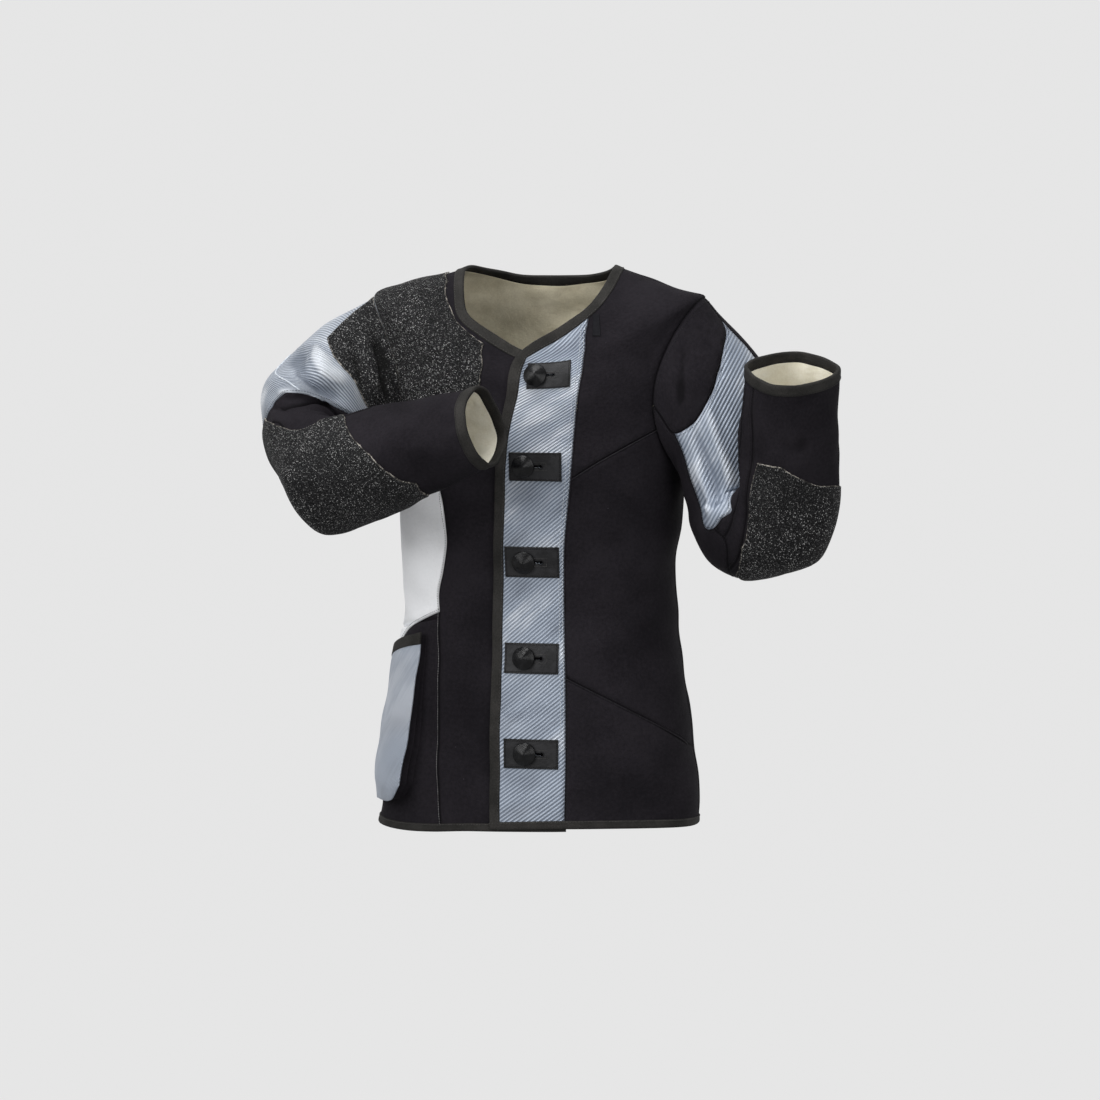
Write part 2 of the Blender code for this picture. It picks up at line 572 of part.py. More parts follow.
    def border(self, chosen, moves):
        """Directed border edges, and each border vertex's shift over the surface for each move table."""
        tris = self.tris[chosen]
        count = {}
        for tri in tris:
            for k in range(3):
                a, b = int(tri[k]), int(tri[(k + 1) % 3])
                count[(a, b)] = True
        rim = [(a, b) for a, b in count if (b, a) not in count]
        into = {}
        for a, b in rim:
            n = unit(self.own[a] + self.own[b])
            inward = unit(np.cross(n, self.p[b] - self.p[a]))
            key = tuple(sorted((a, b)))
            owners = self.by_edge[key]
            if len(owners) == 1:
                kind = "arm" if a in self.arm and b in self.arm else "free"
            else:
                kind = "seam" if "seam" in self.kinds.get(key, ()) else "cut"
            for v in (a, b):
                into.setdefault(v, []).append((inward, kind))
        shifts = []
        for move in moves:
            out = {}
            for v, items in into.items():
                extra = 0
                if move.get("arm", 0) <= SEAM and any(k == "arm" for _, k in items):
                    extra = self.arm[v] * move.get("arm", 0)
                    items = [(d, k) for d, k in items if k != "arm"]
                if not items:
                    out[v] = extra
                    continue
                dirs = np.array([d for d, _ in items])
                want = np.array([move.get(k, 0.0) for _, k in items])
                m = np.linalg.lstsq(dirs, want, rcond=0.2)[0]
                n = unit(self.own[v])
                m = m - n * (m @ n)
                size, top = np.linalg.norm(m), 2.2 * max(1e-9, np.abs(want).max())
                out[v] = m * (top / size if size > top else 1.0) + extra
            shifts.append(out)
        kinds = {}
        for a, b in rim:
            owners = self.by_edge[tuple(sorted((a, b)))]
            kinds[(a, b)] = "free" if len(owners) == 1 and not (a in self.arm and b in self.arm) else "held"
        return rim, shifts, kinds


PIECES = []


def add_piece(name, verts, faces, colour):
    mesh = bpy.data.meshes.new(name)
    mesh.from_pydata([tuple(map(float, v)) for v in verts], [], [tuple(int(i) for i in f) for f in faces])
    mesh.validate(verbose=False)
    mesh.update()
    rgb, rough, metal = COLOURS[colour]
    mat = bpy.data.materials.new("mat_" + name)
    mat.use_nodes = True
    shader = mat.node_tree.nodes["Principled BSDF"]
    shader.inputs["Base Color"].default_value = (*rgb, 1.0)
    shader.inputs["Roughness"].default_value = rough
    shader.inputs["Metallic"].default_value = metal
    mesh.materials.append(mat)
    thing = bpy.data.objects.new(name, mesh)
    JACKET.objects.link(thing)
    PIECES.append(thing)
    return thing


def sheet(shell, name, chosen, low, high, colour, moves=None, lift=None):
    """A wall between two heights over the surface; lift gives a height for each vertex instead."""
    moves = moves or {"seam": SEAM, "arm": SEAM}
    rim, (shift,), _ = shell.border(chosen, [moves])
    used = sorted({int(i) for i in shell.tris[chosen].ravel()})
    new = {v: k for k, v in enumerate(used)}
    base = 0 if lift is None else lift(shell.uv[used])[:, None]
    p = np.array([shell.p[v] + shift.get(v, 0) for v in used])
    n = (shell.own if moves.get("arm", 0) > SEAM else shell.n)[used]
    verts = np.vstack([p + n * (low + base), p + n * (high + base)])
    m = len(used)
    faces = []
    for tri in shell.tris[chosen]:
        a, b, c = (new[int(i)] for i in tri)
        faces += [(a + m, b + m, c + m), (c, b, a)]
    for a, b in rim:
        first = tuple(shell.p[a].round(6)) < tuple(shell.p[b].round(6))
        a, b = new[a], new[b]
        faces += [(a, b, b + m), (a, b + m, a + m)] if first else [(a, b, a + m), (b, b + m, a + m)]
    return add_piece(name, verts, faces, colour)


def tape(shell, name, chosen, colour="tape", out=GAP, inn=-CANVAS - GAP, thick=TAPE):
    """Tape folded round a free edge, with the cloth inside it."""
    near = {"seam": 0.0, "cut": SEAM, "free": -GAP}
    far = {"seam": 0.0, "cut": SEAM, "free": -GAP - thick}
    rim, (s1, s2), kinds = shell.border(chosen, [near, far])
    used = sorted({int(i) for i in shell.tris[chosen].ravel()})
    new = {v: k for k, v in enumerate(used)}
    m = len(used)
    p1 = np.array([shell.p[v] + s1.get(v, 0) for v in used])
    p2 = np.array([shell.p[v] + s2.get(v, 0) for v in used])
    n = shell.n[used]
    verts = np.vstack([p2 + n * (out + thick), p1 + n * out, p1 + n * inn, p2 + n * (inn - thick)])
    faces = []
    for tri in shell.tris[chosen]:
        a, b, c = (new[int(i)] for i in tri)
        for k in range(4):
            corners = (a + k * m, b + k * m, c + k * m)
            faces.append(corners if k % 2 == 0 else corners[::-1])
    ends = {}
    for a, b in rim:
        fold = kinds[(a, b)] == "free"
        for v, way in ((a, 1), (b, -1)):
            ends.setdefault(v, []).append((fold, way))
        i, j = new[a], new[b]
        pairs = [(3, 0), (1, 2)] if fold else [(1, 0), (3, 2)]
        for lo, hi in pairs:
            faces += [(i + lo * m, j + lo * m, j + hi * m), (i + lo * m, j + hi * m, i + hi * m)]
    for v, items in ends.items():
        folds = [way for fold, way in items if fold]
        if len(items) == 2 and len(folds) == 1:
            i = new[v]
            quad = (i, i + m, i + 2 * m, i + 3 * m)
            faces.append(quad if folds[0] > 0 else quad[::-1])
    return add_piece(name, verts, faces, colour)


def revolve(name, centre, axis, profile, colour, steps=18):
    z = unit(axis)
    x = unit(np.cross(z, [0, 0, 1.0]))
    y = np.cross(z, x)
    verts, faces, rings = [], [], []
    for r, h in profile:
        if r == 0:
            rings.append([len(verts)])
            verts.append(centre + z * h)
        else:
            rings.append(list(range(len(verts), len(verts) + steps)))
            for k in range(steps):
                a = 2 * math.pi * k / steps
                verts.append(centre + z * h + (x * math.cos(a) + y * math.sin(a)) * r)
    for r0, r1 in zip(rings, rings[1:]):
        for k in range(steps):
            j = (k + 1) % steps
            if len(r0) == 1:
                faces.append((r0[0], r1[j], r1[k]))
            elif len(r1) == 1:
                faces.append((r0[k], r0[j], r1[0]))
            else:
                faces += [(r0[k], r0[j], r1[j]), (r0[k], r1[j], r1[k])]
    return add_piece(name, verts, faces, colour)


def angle_at_x(x, up):
    half = curve([r[1] for r in RINGS], [r[5] for r in RINGS], np.atleast_1d(up))[0]
    return math.degrees(math.asin((abs(x) / half) ** (ROUND / 2))) * (1 if x > 0 else -1)


def armhole_frames(side):
    """Shared points of the armhole seam: flat places on both shells, position and mitred normal."""
    turns = CUT[side] + np.arange(ARMHOLE["steps"]) * 360.0 / ARMHOLE["steps"]
    body_uv = np.stack(armhole_at(side, np.radians(turns)), axis=1)
    sleeve_uv = np.stack([turns, np.zeros(len(turns))], axis=1)
    p = SURFACES[0].point(body_uv)
    nb, ns = SURFACES[0].normal(body_uv.copy()), SURFACES[side].normal(sleeve_uv.copy())
    m = unit(nb + ns)
    along = unit(np.roll(p, -1, axis=0) - np.roll(p, 1, axis=0))
    g = unit(np.cross(m, along))
    g = g * np.sign((g * (ns - nb)).sum(axis=1))[:, None]
    m = m / np.clip((m * nb).sum(axis=1), 0.45, 1)[:, None]
    return turns, body_uv, sleeve_uv, p, m, g


def snapped(line, points, reach):
    """Line whose ends are moved to the nearest armhole point when they are near one."""
    line = np.array(line)
    for end in (0, -1):
        d = np.linalg.norm(points - line[end], axis=1)
        if d.min() < reach:
            line[end] = points[int(np.argmin(d))]
    return line


def build_body():
    surf = SURFACES[0]
    frames = {side: armhole_frames(side) for side in (1, -1)}
    holes = [surf.flat(frames[side][1]) for side in (1, -1)]
    arm_points = {}
    for side, hole in zip((1, -1), holes):
        for key, pos, nrm, across in zip(hole, *frames[side][3:]):
            arm_points[tuple(key)] = (pos, nrm, across)
    every = np.vstack(holes)
    parts = [smooth_line(surf, line, EDGE) for line in (NECK, RIGHT_EDGE, HEM, FRONT_EDGE)]
    outline = np.vstack([part[:-1] for part in parts])
    seams = [snapped(smooth_line(surf, line), every, 0.02) for line in SEAMS.values()]
    shapes = {}

    def band(line, width, spare, step=EDGE):
        """Outline of a strip that runs along an edge, past it on the outside."""
        dense = surf.unflat(smooth_line(surf, line, step))
        a, b = surf.step_in(dense, width), surf.step_in(dense, width, left=False)
        mid = np.array([180.0, 0.4])
        inner = a if spare(a) else b
        outer = b if spare(a) else a
        return surf.flat(inner), surf.flat(dense + (dense - inner) * 0.5)

    for name, line, width, spare in (
            ("neck_strip", NECK, 0.012, lambda q: q[8, 1] < 0.725),
            ("front_strip", FRONT_EDGE, 0.010, lambda q: q[0, 0] > FRONT_EDGE[0][0]),
            ("hem_strip", HEM, 0.009, lambda q: q[10, 1] > 0.003)):
        inner, outer = band(line, width, spare)
        shapes[name] = np.vstack([inner, outer[::-1]])
    patch = smooth_line(surf, SHOULDER_PATCH + SHOULDER_PATCH[:1], bend=False)[:-1]
    shapes["shoulder_patch"] = patch
    shapes["tag"] = surf.flat(TAG)
    shapes["pocket"] = smooth_line(surf, POCKET + POCKET[:1], 0.03, bend=False)[:-1]
    for k, (x0, x1, u0, u1, xb) in enumerate(PLATES, 1):
        corners = [(angle_at_x(x, u), u) for x, u in ((x0, u0), (x1, u0), (x1, u1), (x0, u1))]
        shapes["plate_%d" % k] = smooth_line(surf, corners + corners[:1], 0.03, bend=False)[:-1]
        ub, tall = (u0 + u1) / 2, SLOT["tall_first"] if k == 1 else SLOT["tall"]
        near, far = (angle_at_x(x, ub) for x in (xb - SLOT["left"], xb + SLOT["right"]))
        low, high = ub - tall, ub + tall
        shapes["slot_%d" % k] = surf.flat([(near, low), (far, low), (far, high), (near, high)])
    band_line = smooth_line(surf, POCKET_BAND, 0.03)
    shapes["pocket_band"] = np.vstack([band_line, surf.flat([(330, 0.26), (270, 0.235)])])
    shapes["lining"] = smooth_line(surf, BACK_LINING + BACK_LINING[:1], bend=False)[:-1]
    for word, hole in zip(("left", "right"), holes):
        t = unit(np.roll(hole, -1, axis=0) - np.roll(hole, 1, axis=0))
        out = np.stack([t[:, 1], -t[:, 0]], axis=1) * 0.006
        out *= np.sign((out * (hole - hole.mean(axis=0))).sum())
        shapes["arm_margin_" + word] = (hole + out)[::2]
    return Shell(0, [outline] + holes, seams, shapes, BODY_SEEDS, arm_points)


def build_sleeve(side):
    surf = SURFACES[side]
    turns, _, sleeve_uv, p, m, g = armhole_frames(side)
    lo, hi = CUT[side], CUT[side] + 360
    length = LENGTH[side]
    start = surf.flat(sleeve_uv)
    end = surf.flat([(hi, 0.0)])
    steps = 36
    up_side = [(hi, length * k / 18) for k in range(1, 18)]
    cuff = [(hi - 360 * k / steps, length) for k in range(steps + 1)]
    down_side = [(lo, length * k / 18) for k in range(17, 0, -1)]
    outline = np.vstack([start, end, surf.flat(up_side), surf.flat(cuff), surf.flat(down_side)])
    arm_points = {tuple(k): (pos, nrm, -across) for k, pos, nrm, across in zip(start, p, m, g)}
    arm_points[tuple(end[0])] = (p[0], m[0], -g[0])
    seams = []
    for line in SLEEVE_SEAMS[side].values():
        line = [(min(max(u, lo), hi), v) for u, v in line]
        line = [(u, v) if v < 0.48 or side < 0 else (u, length) for u, v in line]
        flat = smooth_line(surf, line)
        keep = snapped(flat, start, 0.014)
        for k in (0, -1):
            if min(abs(flat[k, 0] - surf.flat([(edge, 0)])[0, 0]) for edge in (lo, hi)) < 1e-6:
                keep[k] = (flat[k, 0], length * round(flat[k, 1] / length * 18) / 18)
        seams.append(keep)
    shapes = {}
    for name, line in SLEEVE_PATCHES[side].items():
        shapes[name] = smooth_line(surf, list(line) + [line[0]], bend=False)[:-1]
    for name, back in (("cuff_strip", 0.012), ("lining_strip", 0.150)):
        ring = [(lo + 360 * k / steps, length - back) for k in range(steps + 1)]
        shapes[name] = surf.flat(ring + [(hi, length + 0.01), (lo, length + 0.01)])
    wrap = (surf.flat([(lo, 0)])[0, 0], surf.flat([(hi, 0)])[0, 0])
    start = "sleeve_left_" if side > 0 else "sleeve_right_"
    seeds = {start + k: v for k, v in SLEEVE_SEEDS[side].items()}
    return Shell(side, [outline], seams, shapes, seeds, arm_points, wrap=wrap)


def pocket_height(uv):
    height = np.interp(uv[:, 1], [a for a, _ in POCKET_HEIGHT], [b for _, b in POCKET_HEIGHT])
    share = POCKET_REAR["share"]
    return height * (share + (1 - share) * smooth_step(POCKET_REAR["from"], POCKET_REAR["to"], uv[:, 0]))


def build_pocket(body):
    chosen = body.pick(shapes=["pocket"])
    front = [t for t in chosen if not body.inside["pocket_band"][t]]
    band = [t for t in chosen if body.inside["pocket_band"][t]]
    moves = {"cut": 0.0, "seam": 0.0}
    sheet(body, "pocket_front", front, 0.0, CANVAS, "silver", dict(moves, cut=SEAM), pocket_height)
    sheet(body, "pocket_band", band, 0.0, CANVAS, "tape", dict(moves, cut=SEAM), pocket_height)
    rim, (shift, deep), _ = body.border(chosen, [{"cut": 0.0002}, {"cut": 0.0017}])
    after = dict(rim)
    top = [v for v in after if body.uv[v, 1] > 0.205 and in_polygon(body.surface.flat([body.uv[v]]),
           body.surface.flat([(283, 0.20), (283, 0.26), (317, 0.26), (317, 0.20)]))[0]]
    right = min(after, key=lambda v: np.linalg.norm(body.xy[v] - body.surface.flat([POCKET[0]])[0]))
    left = min(after, key=lambda v: np.linalg.norm(body.xy[v] - body.surface.flat([POCKET[-1]])[0]))
    for begin, stop in ((right, left), (left, right)):
        path = [begin]
        while path[-1] != stop:
            path.append(after[path[-1]])
        if not any(v in path[1:-1] for v in top):
            break
    h = pocket_height(body.uv[path])[:, None]
    p = body.p[path]
    n = body.n[path]
    outer, inner = p + np.array([shift[v] for v in path]), p + np.array([deep[v] for v in path])
    low = 0.0003
    high = h - 0.0010
    verts = np.stack([outer + n * low, inner + n * low, inner + n * high, outer + n * high], axis=1)
    faces = []
    for k in range(len(path) - 1):
        for j in range(4):
            i = (j + 1) % 4
            a, b = 4 * k, 4 * k + 4
            faces += [(a + j, b + j, b + i), (a + j, b + i, a + i)]
    e = 4 * (len(path) - 1)
    faces += [(0, 1, 2, 3), (e + 3, e + 2, e + 1, e)]
    add_piece("pocket_gusset", verts.reshape(-1, 3), faces, "black")


def fix_facing(thing):
    """Turns a piece the right way out when its volume comes out negative."""
    mesh = thing.data
    mesh.calc_loop_triangles()
    total = 0.0
    for t in mesh.loop_triangles:
        a, b, c = (mesh.vertices[i].co for i in t.vertices)
        total += a.dot(b.cross(c)) / 6
    if total < 0:
        mesh.flip_normals()


JACKET = bpy.data.collections.new("shooting_jacket")
bpy.context.scene.collection.children.link(JACKET)

body = build_body()
slots = ["slot_%d" % k for k in range(1, 6)]
for name in BODY_SEEDS:
    colour = PIECE_COLOUR.get(name, "black")
    sheet(body, name, body.pick([name], without=slots if name == "placket" else ()), -CANVAS, 0.0, colour)
strips = ["neck_strip", "front_strip", "hem_strip"]
tape(body, "binding_front_edge", body.pick(shapes=["front_strip"]))
tape(body, "binding_neck", body.pick(shapes=["neck_strip"], without=["front_strip"]))
tape(body, "binding_hem", body.pick(shapes=["hem_strip"], without=["front_strip", "neck_strip"]))
chosen = body.pick(shapes=["lining"], without=["neck_strip", "arm_margin_left", "arm_margin_right"])
under = -CANVAS - 2 * GAP
sheet(body, "lining_back_neck", chosen, under - LINING, under, "tan", {"cut": GAP})
chosen = body.pick(shapes=["shoulder_patch"], without=["arm_margin_right"])
sheet(body, "grip_shoulder_right", chosen, GAP, GAP + PATCH, "grip", {"cut": 0.0})
sheet(body, "tag", body.pick(shapes=["tag"]), GAP, GAP + 0.001, "black")
for k, (x0, x1, u0, u1, xb) in enumerate(PLATES, 1):
    chosen = body.pick(shapes=["plate_%d" % k], without=["slot_%d" % k])
    sheet(body, "button_plate_%d" % k, chosen, GAP, GAP + PATCH, "leather")
    at = np.array([[angle_at_x(xb, (u0 + u1) / 2), (u0 + u1) / 2]])
    top, foot = GAP + PATCH + GAP, -UNDERLAP + 2 * GAP
    profile = [(0, foot), (SHANK, foot), (SHANK, top)] + [(r, top + h) for r, h in BUTTON_DOME]
    revolve("button_%d" % k, SURFACES[0].point(at)[0], SURFACES[0].normal(at.copy())[0], profile, "button")
build_pocket(body)
for side, word in ((1, "left"), (-1, "right")):
    tube = build_sleeve(side)
    for name in tube.names:
        sheet(tube, name, tube.pick([name]), -CANVAS, 0.0, PIECE_COLOUR.get(name, "black"))
    tape(tube, "binding_cuff_" + word, tube.pick(shapes=["cuff_strip"]))
    chosen = tube.pick(shapes=["lining_strip"], without=["cuff_strip"])
    sheet(tube, "lining_cuff_" + word, chosen, -CANVAS - GAP - LINING, -CANVAS - GAP, "tan", {"cut": GAP})
    for name in SLEEVE_PATCHES[side]:
        sheet(tube, name, tube.pick(shapes=[name]), GAP, GAP + PATCH, "grip", {"cut": 0.0})
for thing in PIECES:
    fix_facing(thing)
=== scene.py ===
"""Shooting jacket: fine cloth shells, tapes, grip patches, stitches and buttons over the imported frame."""

import math

import bmesh
import bpy
import numpy as np
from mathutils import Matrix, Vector, noise
from mathutils.geometry import delaunay_2d_cdt
from mathutils.kdtree import KDTree


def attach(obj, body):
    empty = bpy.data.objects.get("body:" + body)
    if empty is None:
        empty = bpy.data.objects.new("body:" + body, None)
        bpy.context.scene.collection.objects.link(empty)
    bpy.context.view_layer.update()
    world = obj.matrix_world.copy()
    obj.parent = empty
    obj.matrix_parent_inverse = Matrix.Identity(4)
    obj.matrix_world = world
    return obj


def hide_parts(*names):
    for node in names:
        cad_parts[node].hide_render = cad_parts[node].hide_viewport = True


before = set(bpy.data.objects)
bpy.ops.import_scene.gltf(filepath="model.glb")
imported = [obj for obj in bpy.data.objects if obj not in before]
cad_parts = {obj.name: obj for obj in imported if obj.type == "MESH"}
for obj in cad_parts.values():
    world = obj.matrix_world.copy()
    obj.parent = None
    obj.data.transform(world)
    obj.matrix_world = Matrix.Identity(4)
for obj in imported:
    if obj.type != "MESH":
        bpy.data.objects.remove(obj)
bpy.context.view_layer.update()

# Rings of the body, hem to neck: up, z front, z side, z back, half width, front depth, back depth
RINGS = [
    (0.000, -0.676, -0.676, -0.676, 0.196, 0.128, 0.120),
    (0.100, -0.576, -0.576, -0.576, 0.189, 0.124, 0.118),
    (0.190, -0.486, -0.486, -0.486, 0.176, 0.115, 0.106),
    (0.285, -0.391, -0.391, -0.391, 0.166, 0.106, 0.094),
    (0.370, -0.306, -0.306, -0.306, 0.171, 0.112, 0.102),
    (0.456, -0.220, -0.220, -0.220, 0.181, 0.121, 0.114),
    (0.540, -0.155, -0.125, -0.135, 0.190, 0.122, 0.118),
    (0.620, -0.104, -0.036, -0.078, 0.200, 0.112, 0.108),
    (0.655, -0.080, -0.024, -0.055, 0.165, 0.104, 0.101),
    (0.695, -0.055, -0.011, -0.033, 0.125, 0.092, 0.090),
    (0.730, -0.030, 0.000, -0.015, 0.088, 0.080, 0.078),
]
# Squareness of the rings, how far the right front lies under the left, and the armholes' outline
ROUND, UNDERLAP = 2.3, 0.0054
ARMHOLE = {"front": 38.0, "back": 36.0, "top": 0.620, "bottom": 0.440, "egg": 2.2}
# Centres of shoulder, elbow and cuff
ARM_POINTS = {
    1: ((0.1845, -0.0075, -0.1475), (0.3049, -0.0726, -0.3220), (0.3288, -0.1437, -0.1124)),
    -1: ((-0.1836, -0.0044, -0.1082), (-0.2665, -0.1649, -0.2421), (-0.0135, -0.2360, -0.1798)),
}
# Rings of a sleeve: stretch, share of it, share of armhole, then pit, out, far side, near side of each arm
SLEEVE_ROWS = [
    ("upper", 0.35, 0.62, (0.084, 0.072, 0.142, 0.063), (0.067, 0.122, 0.108, 0.058)),
    ("upper", 0.70, 0.25, (0.058, 0.081, 0.114, 0.064), (0.058, 0.097, 0.101, 0.070)),
    ("upper", 1.0, 0, (0.036, 0.092, 0.092, 0.067), (0.050, 0.077, 0.092, 0.079)),
    ("turn", 0.17, 0, (0.030, 0.100, 0.078, 0.075), (0.047, 0.059, 0.082, 0.085)),
    ("turn", 0.33, 0, (0.030, 0.093, 0.070, 0.078), (0.046, 0.051, 0.075, 0.090)),
    ("turn", 0.50, 0, (0.032, 0.083, 0.063, 0.073), (0.046, 0.047, 0.072, 0.094)),
    ("turn", 0.67, 0, (0.034, 0.081, 0.058, 0.068), (0.045, 0.055, 0.068, 0.094)),
    ("turn", 0.83, 0, (0.035, 0.072, 0.055, 0.065), (0.044, 0.071, 0.064, 0.084)),
    ("lower", 0.0, 0, (0.036, 0.064, 0.054, 0.064), (0.043, 0.068, 0.060, 0.075)),
    ("lower", 0.33, 0, (0.042, 0.057, 0.056, 0.063), (0.043, 0.064, 0.055, 0.067)),
    ("lower", 0.67, 0, (0.046, 0.050, 0.055, 0.060), (0.046, 0.054, 0.051, 0.052)),
    ("lower", 1.0, 0, (0.049, 0.044, 0.053, 0.055), (0.047, 0.040, 0.047, 0.042)),
]
UPPER_ROW, ELBOW_ROW = 1, 5
# Gap inside a bent elbow, the angle at which each sleeve is cut open, and the radius it is laid flat with
PIT_GAP, CUT, AROUND = 0.008, {1: -260.0, -1: -70.0}, 0.072

# Thickness of the walls, the lining and the patches, and the air between two cloths
CANVAS, LINING, PATCH, GAP = 0.0020, 0.0010, 0.0016, 0.0003

# Edges and seams of the body: angle from the front toward the wearer's left, distance up
FRONT_EDGE = [
    (-7.5, 0.012), (-8.5, 0.166), (-9.2, 0.284), (-8.0, 0.380), (-6.0, 0.466), (-3.0, 0.544), (0.5, 0.634),
]
NECK = [
    (0.5, 0.634), (14.5, 0.668), (33.5, 0.692), (52.0, 0.709), (70.0, 0.720), (90.0, 0.727), (130.0, 0.730),
    (180.0, 0.730), (230.0, 0.730), (270.0, 0.729), (301.0, 0.722), (317.5, 0.708), (331.5, 0.684),
    (349.5, 0.658), (360.0, 0.632), (374.0, 0.596),
]
RIGHT_EDGE = [(374.0, 0.596), (374.0, 0.450), (374.0, 0.300), (374.0, 0.150), (374.0, 0.012)]
HEM = [
    (374.0, 0.012), (345.0, 0.008), (315.0, 0.002), (270.0, 0.000), (180.0, 0.000), (120.0, 0.002),
    (90.0, 0.006), (45.0, 0.015), (13.5, 0.016), (-7.5, 0.012),
]
SEAMS = {
    "left_side": [(92, -0.01), (92, 0.10), (92, 0.25), (92, 0.38), (92.4, 0.440)],
    "left_shoulder": [(90, 0.610), (90, 0.66), (90, 0.75)],
    "right_shoulder": [(270, 0.610), (270, 0.66), (270, 0.75)],
    "left_upper": [(17, 0.428), (28, 0.450), (46, 0.476), (60.5, 0.490)],
    "left_lower": [(15, 0.194), (32.5, 0.168), (52, 0.142), (83, 0.106), (92, 0.10)],
    "placket": [
        (13.5, -0.01), (14.5, 0.110), (15, 0.194), (15, 0.262), (15, 0.348), (17, 0.428), (18, 0.504),
        (19, 0.578), (20.5, 0.636), (25.4, 0.660), (31.4, 0.685), (36, 0.710),
    ],
    "right_side": [(255, -0.01), (255, 0.10), (255, 0.205), (256, 0.35), (262, 0.439)],
    "right_front": [
        (334, -0.01), (329, 0.162), (324.5, 0.266), (324, 0.285), (327, 0.318), (329.5, 0.354),
        (329, 0.408), (325, 0.440), (316, 0.470), (304, 0.492),
    ],
    "hip_top": [(255, 0.205), (272, 0.212), (289.5, 0.224), (296.5, 0.238), (312, 0.254), (324.5, 0.266)],
}
BODY_SEEDS = {
    "placket": (6, 0.27), "front_left_lower": (50, 0.06), "front_left_middle": (50, 0.30),
    "front_left_upper": (40, 0.58), "back": (180, 0.35), "side_right_upper": (290, 0.35),
    "side_right_lower": (290, 0.02), "front_right": (345, 0.30),
}
SHOULDER_PATCH = [
    (271, 0.628), (271, 0.708), (298, 0.705), (323.5, 0.678), (331.5, 0.664), (348.5, 0.638),
    (349.5, 0.598), (348, 0.556), (347, 0.500), (330, 0.492), (307, 0.500),
]
TAG = [(31.5, 0.676), (34, 0.672), (27, 0.638), (24.5, 0.642)]
POCKET = [
    (318, 0.240), (319.5, 0.172), (320.5, 0.100), (319, 0.060), (312, 0.040), (298, 0.0345), (280, 0.034),
    (274.5, 0.047), (275, 0.120), (279, 0.200), (281, 0.214),
]
POCKET_BAND = [(276, 0.1975), (298, 0.2122), (322, 0.2290)]
# How far the pocket's face stands off at its front edge: distance up, height; its share at the rear edge
POCKET_HEIGHT = [(0.030, 0.017), (0.060, 0.024), (0.120, 0.021), (0.200, 0.013), (0.240, 0.0095)]
POCKET_REAR = {"from": 276, "to": 316, "share": 0.2}
# Button plates: left x, right x, low and high distance up, button x
PLATES = [
    (0.0100, 0.0610, 0.562, 0.610, 0.0200), (-0.0115, 0.0510, 0.426, 0.462, 0.0060),
    (-0.0190, 0.0460, 0.312, 0.349, 0.0040), (-0.0190, 0.0460, 0.198, 0.234, 0.0050),
    (-0.0175, 0.0480, 0.086, 0.121, 0.0080),
]
# Buttonhole: the slot's reach behind the button and half height, the eye's distance ahead and radius
SLOT_BACK, SLOT_HALF, EYE_AHEAD, EYE = 0.0026, 0.0016, 0.0205, 0.0025
# Button: radius of its shank, then radius and height of each ring of its dome
SHANK = 0.0015
BUTTON_ROWS = [
    (0.0108, 0.0), (0.0130, 0.0005), (0.0137, 0.0014), (0.0137, 0.0023), (0.0133, 0.0030), (0.0128, 0.0033),
    (0.0098, 0.0054), (0.0042, 0.0084), (0.0016, 0.0092), (0.0, 0.0094),
]
# Lining behind the neck, on the body's inside
BACK_LINING = [(62, 0.53), (100, 0.50), (180, 0.49), (260, 0.50), (298, 0.53), (298, 0.75), (62, 0.75)]
# Seams and patches of the sleeves: turn around the tube, distance along
SLEEVE_SEAMS = {
    1: {
        "cap_edge": [
            (30, -0.01), (30, 0.0215), (10, 0.042), (-2.5, 0.057), (-27.5, 0.0655), (-47.5, 0.0677),
            (-77.5, 0.0495), (-79, -0.01),
        ],
        "silver_front": [
            (-77.5, 0.0495), (-90, 0.0973), (-95, 0.205), (-88, 0.229), (-79, 0.2555), (-60, 0.252),
            (-45, 0.238), (0, 0.205), (33, 0.170), (35, 0.100), (30, 0.0215),
        ],
        "elbow": [(-265, 0.210), (-180, 0.185), (-135, 0.205), (-102.5, 0.220), (-95, 0.205)],
        "elbow_back": [(33, 0.170), (60, 0.190), (105, 0.210)],
        "strip_front": [(-102.5, 0.220), (-85, 0.270), (-72.5, 0.3256), (-67.5, 0.429), (-57, 0.50)],
        "strip_back": [
            (-135, 0.205), (-123, 0.228), (-102, 0.265), (-95.5, 0.300), (-94.2, 0.335), (-95, 0.374),
            (-83, 0.50),
        ],
    },
    -1: {
        "silver_back": [(150, -0.01), (150, 0.06), (150, 0.14), (150, 0.203)],
        "silver_front": [(-12, -0.01), (-12, 0.05), (-8, 0.105)],
        "gusset_top": [
            (150, 0.203), (117.5, 0.2045), (100, 0.200), (82, 0.198), (50, 0.190), (20, 0.145), (-8, 0.105),
        ],
        "gusset_low": [
            (150, 0.203), (130, 0.228), (110, 0.255), (105, 0.303), (80, 0.3887), (70, 0.415), (50, 0.360),
            (20, 0.260), (-8, 0.190), (-8, 0.105),
        ],
        "elbow": [(150, 0.203), (200, 0.240), (240, 0.245), (295, 0.205)],
        "elbow_back": [(-75, 0.205), (-40, 0.190), (-8, 0.190)],
    },
}
SLEEVE_SEEDS = {
    1: {
        "cap": (-40, 0.03), "silver": (-40, 0.14), "under": (-180, 0.08), "strip": (-85, 0.38),
        "forearm": (-180, 0.38),
    },
    -1: {"silver": (70, 0.10), "under": (220, 0.12), "gusset": (85, 0.28), "forearm": (200, 0.45)},
}
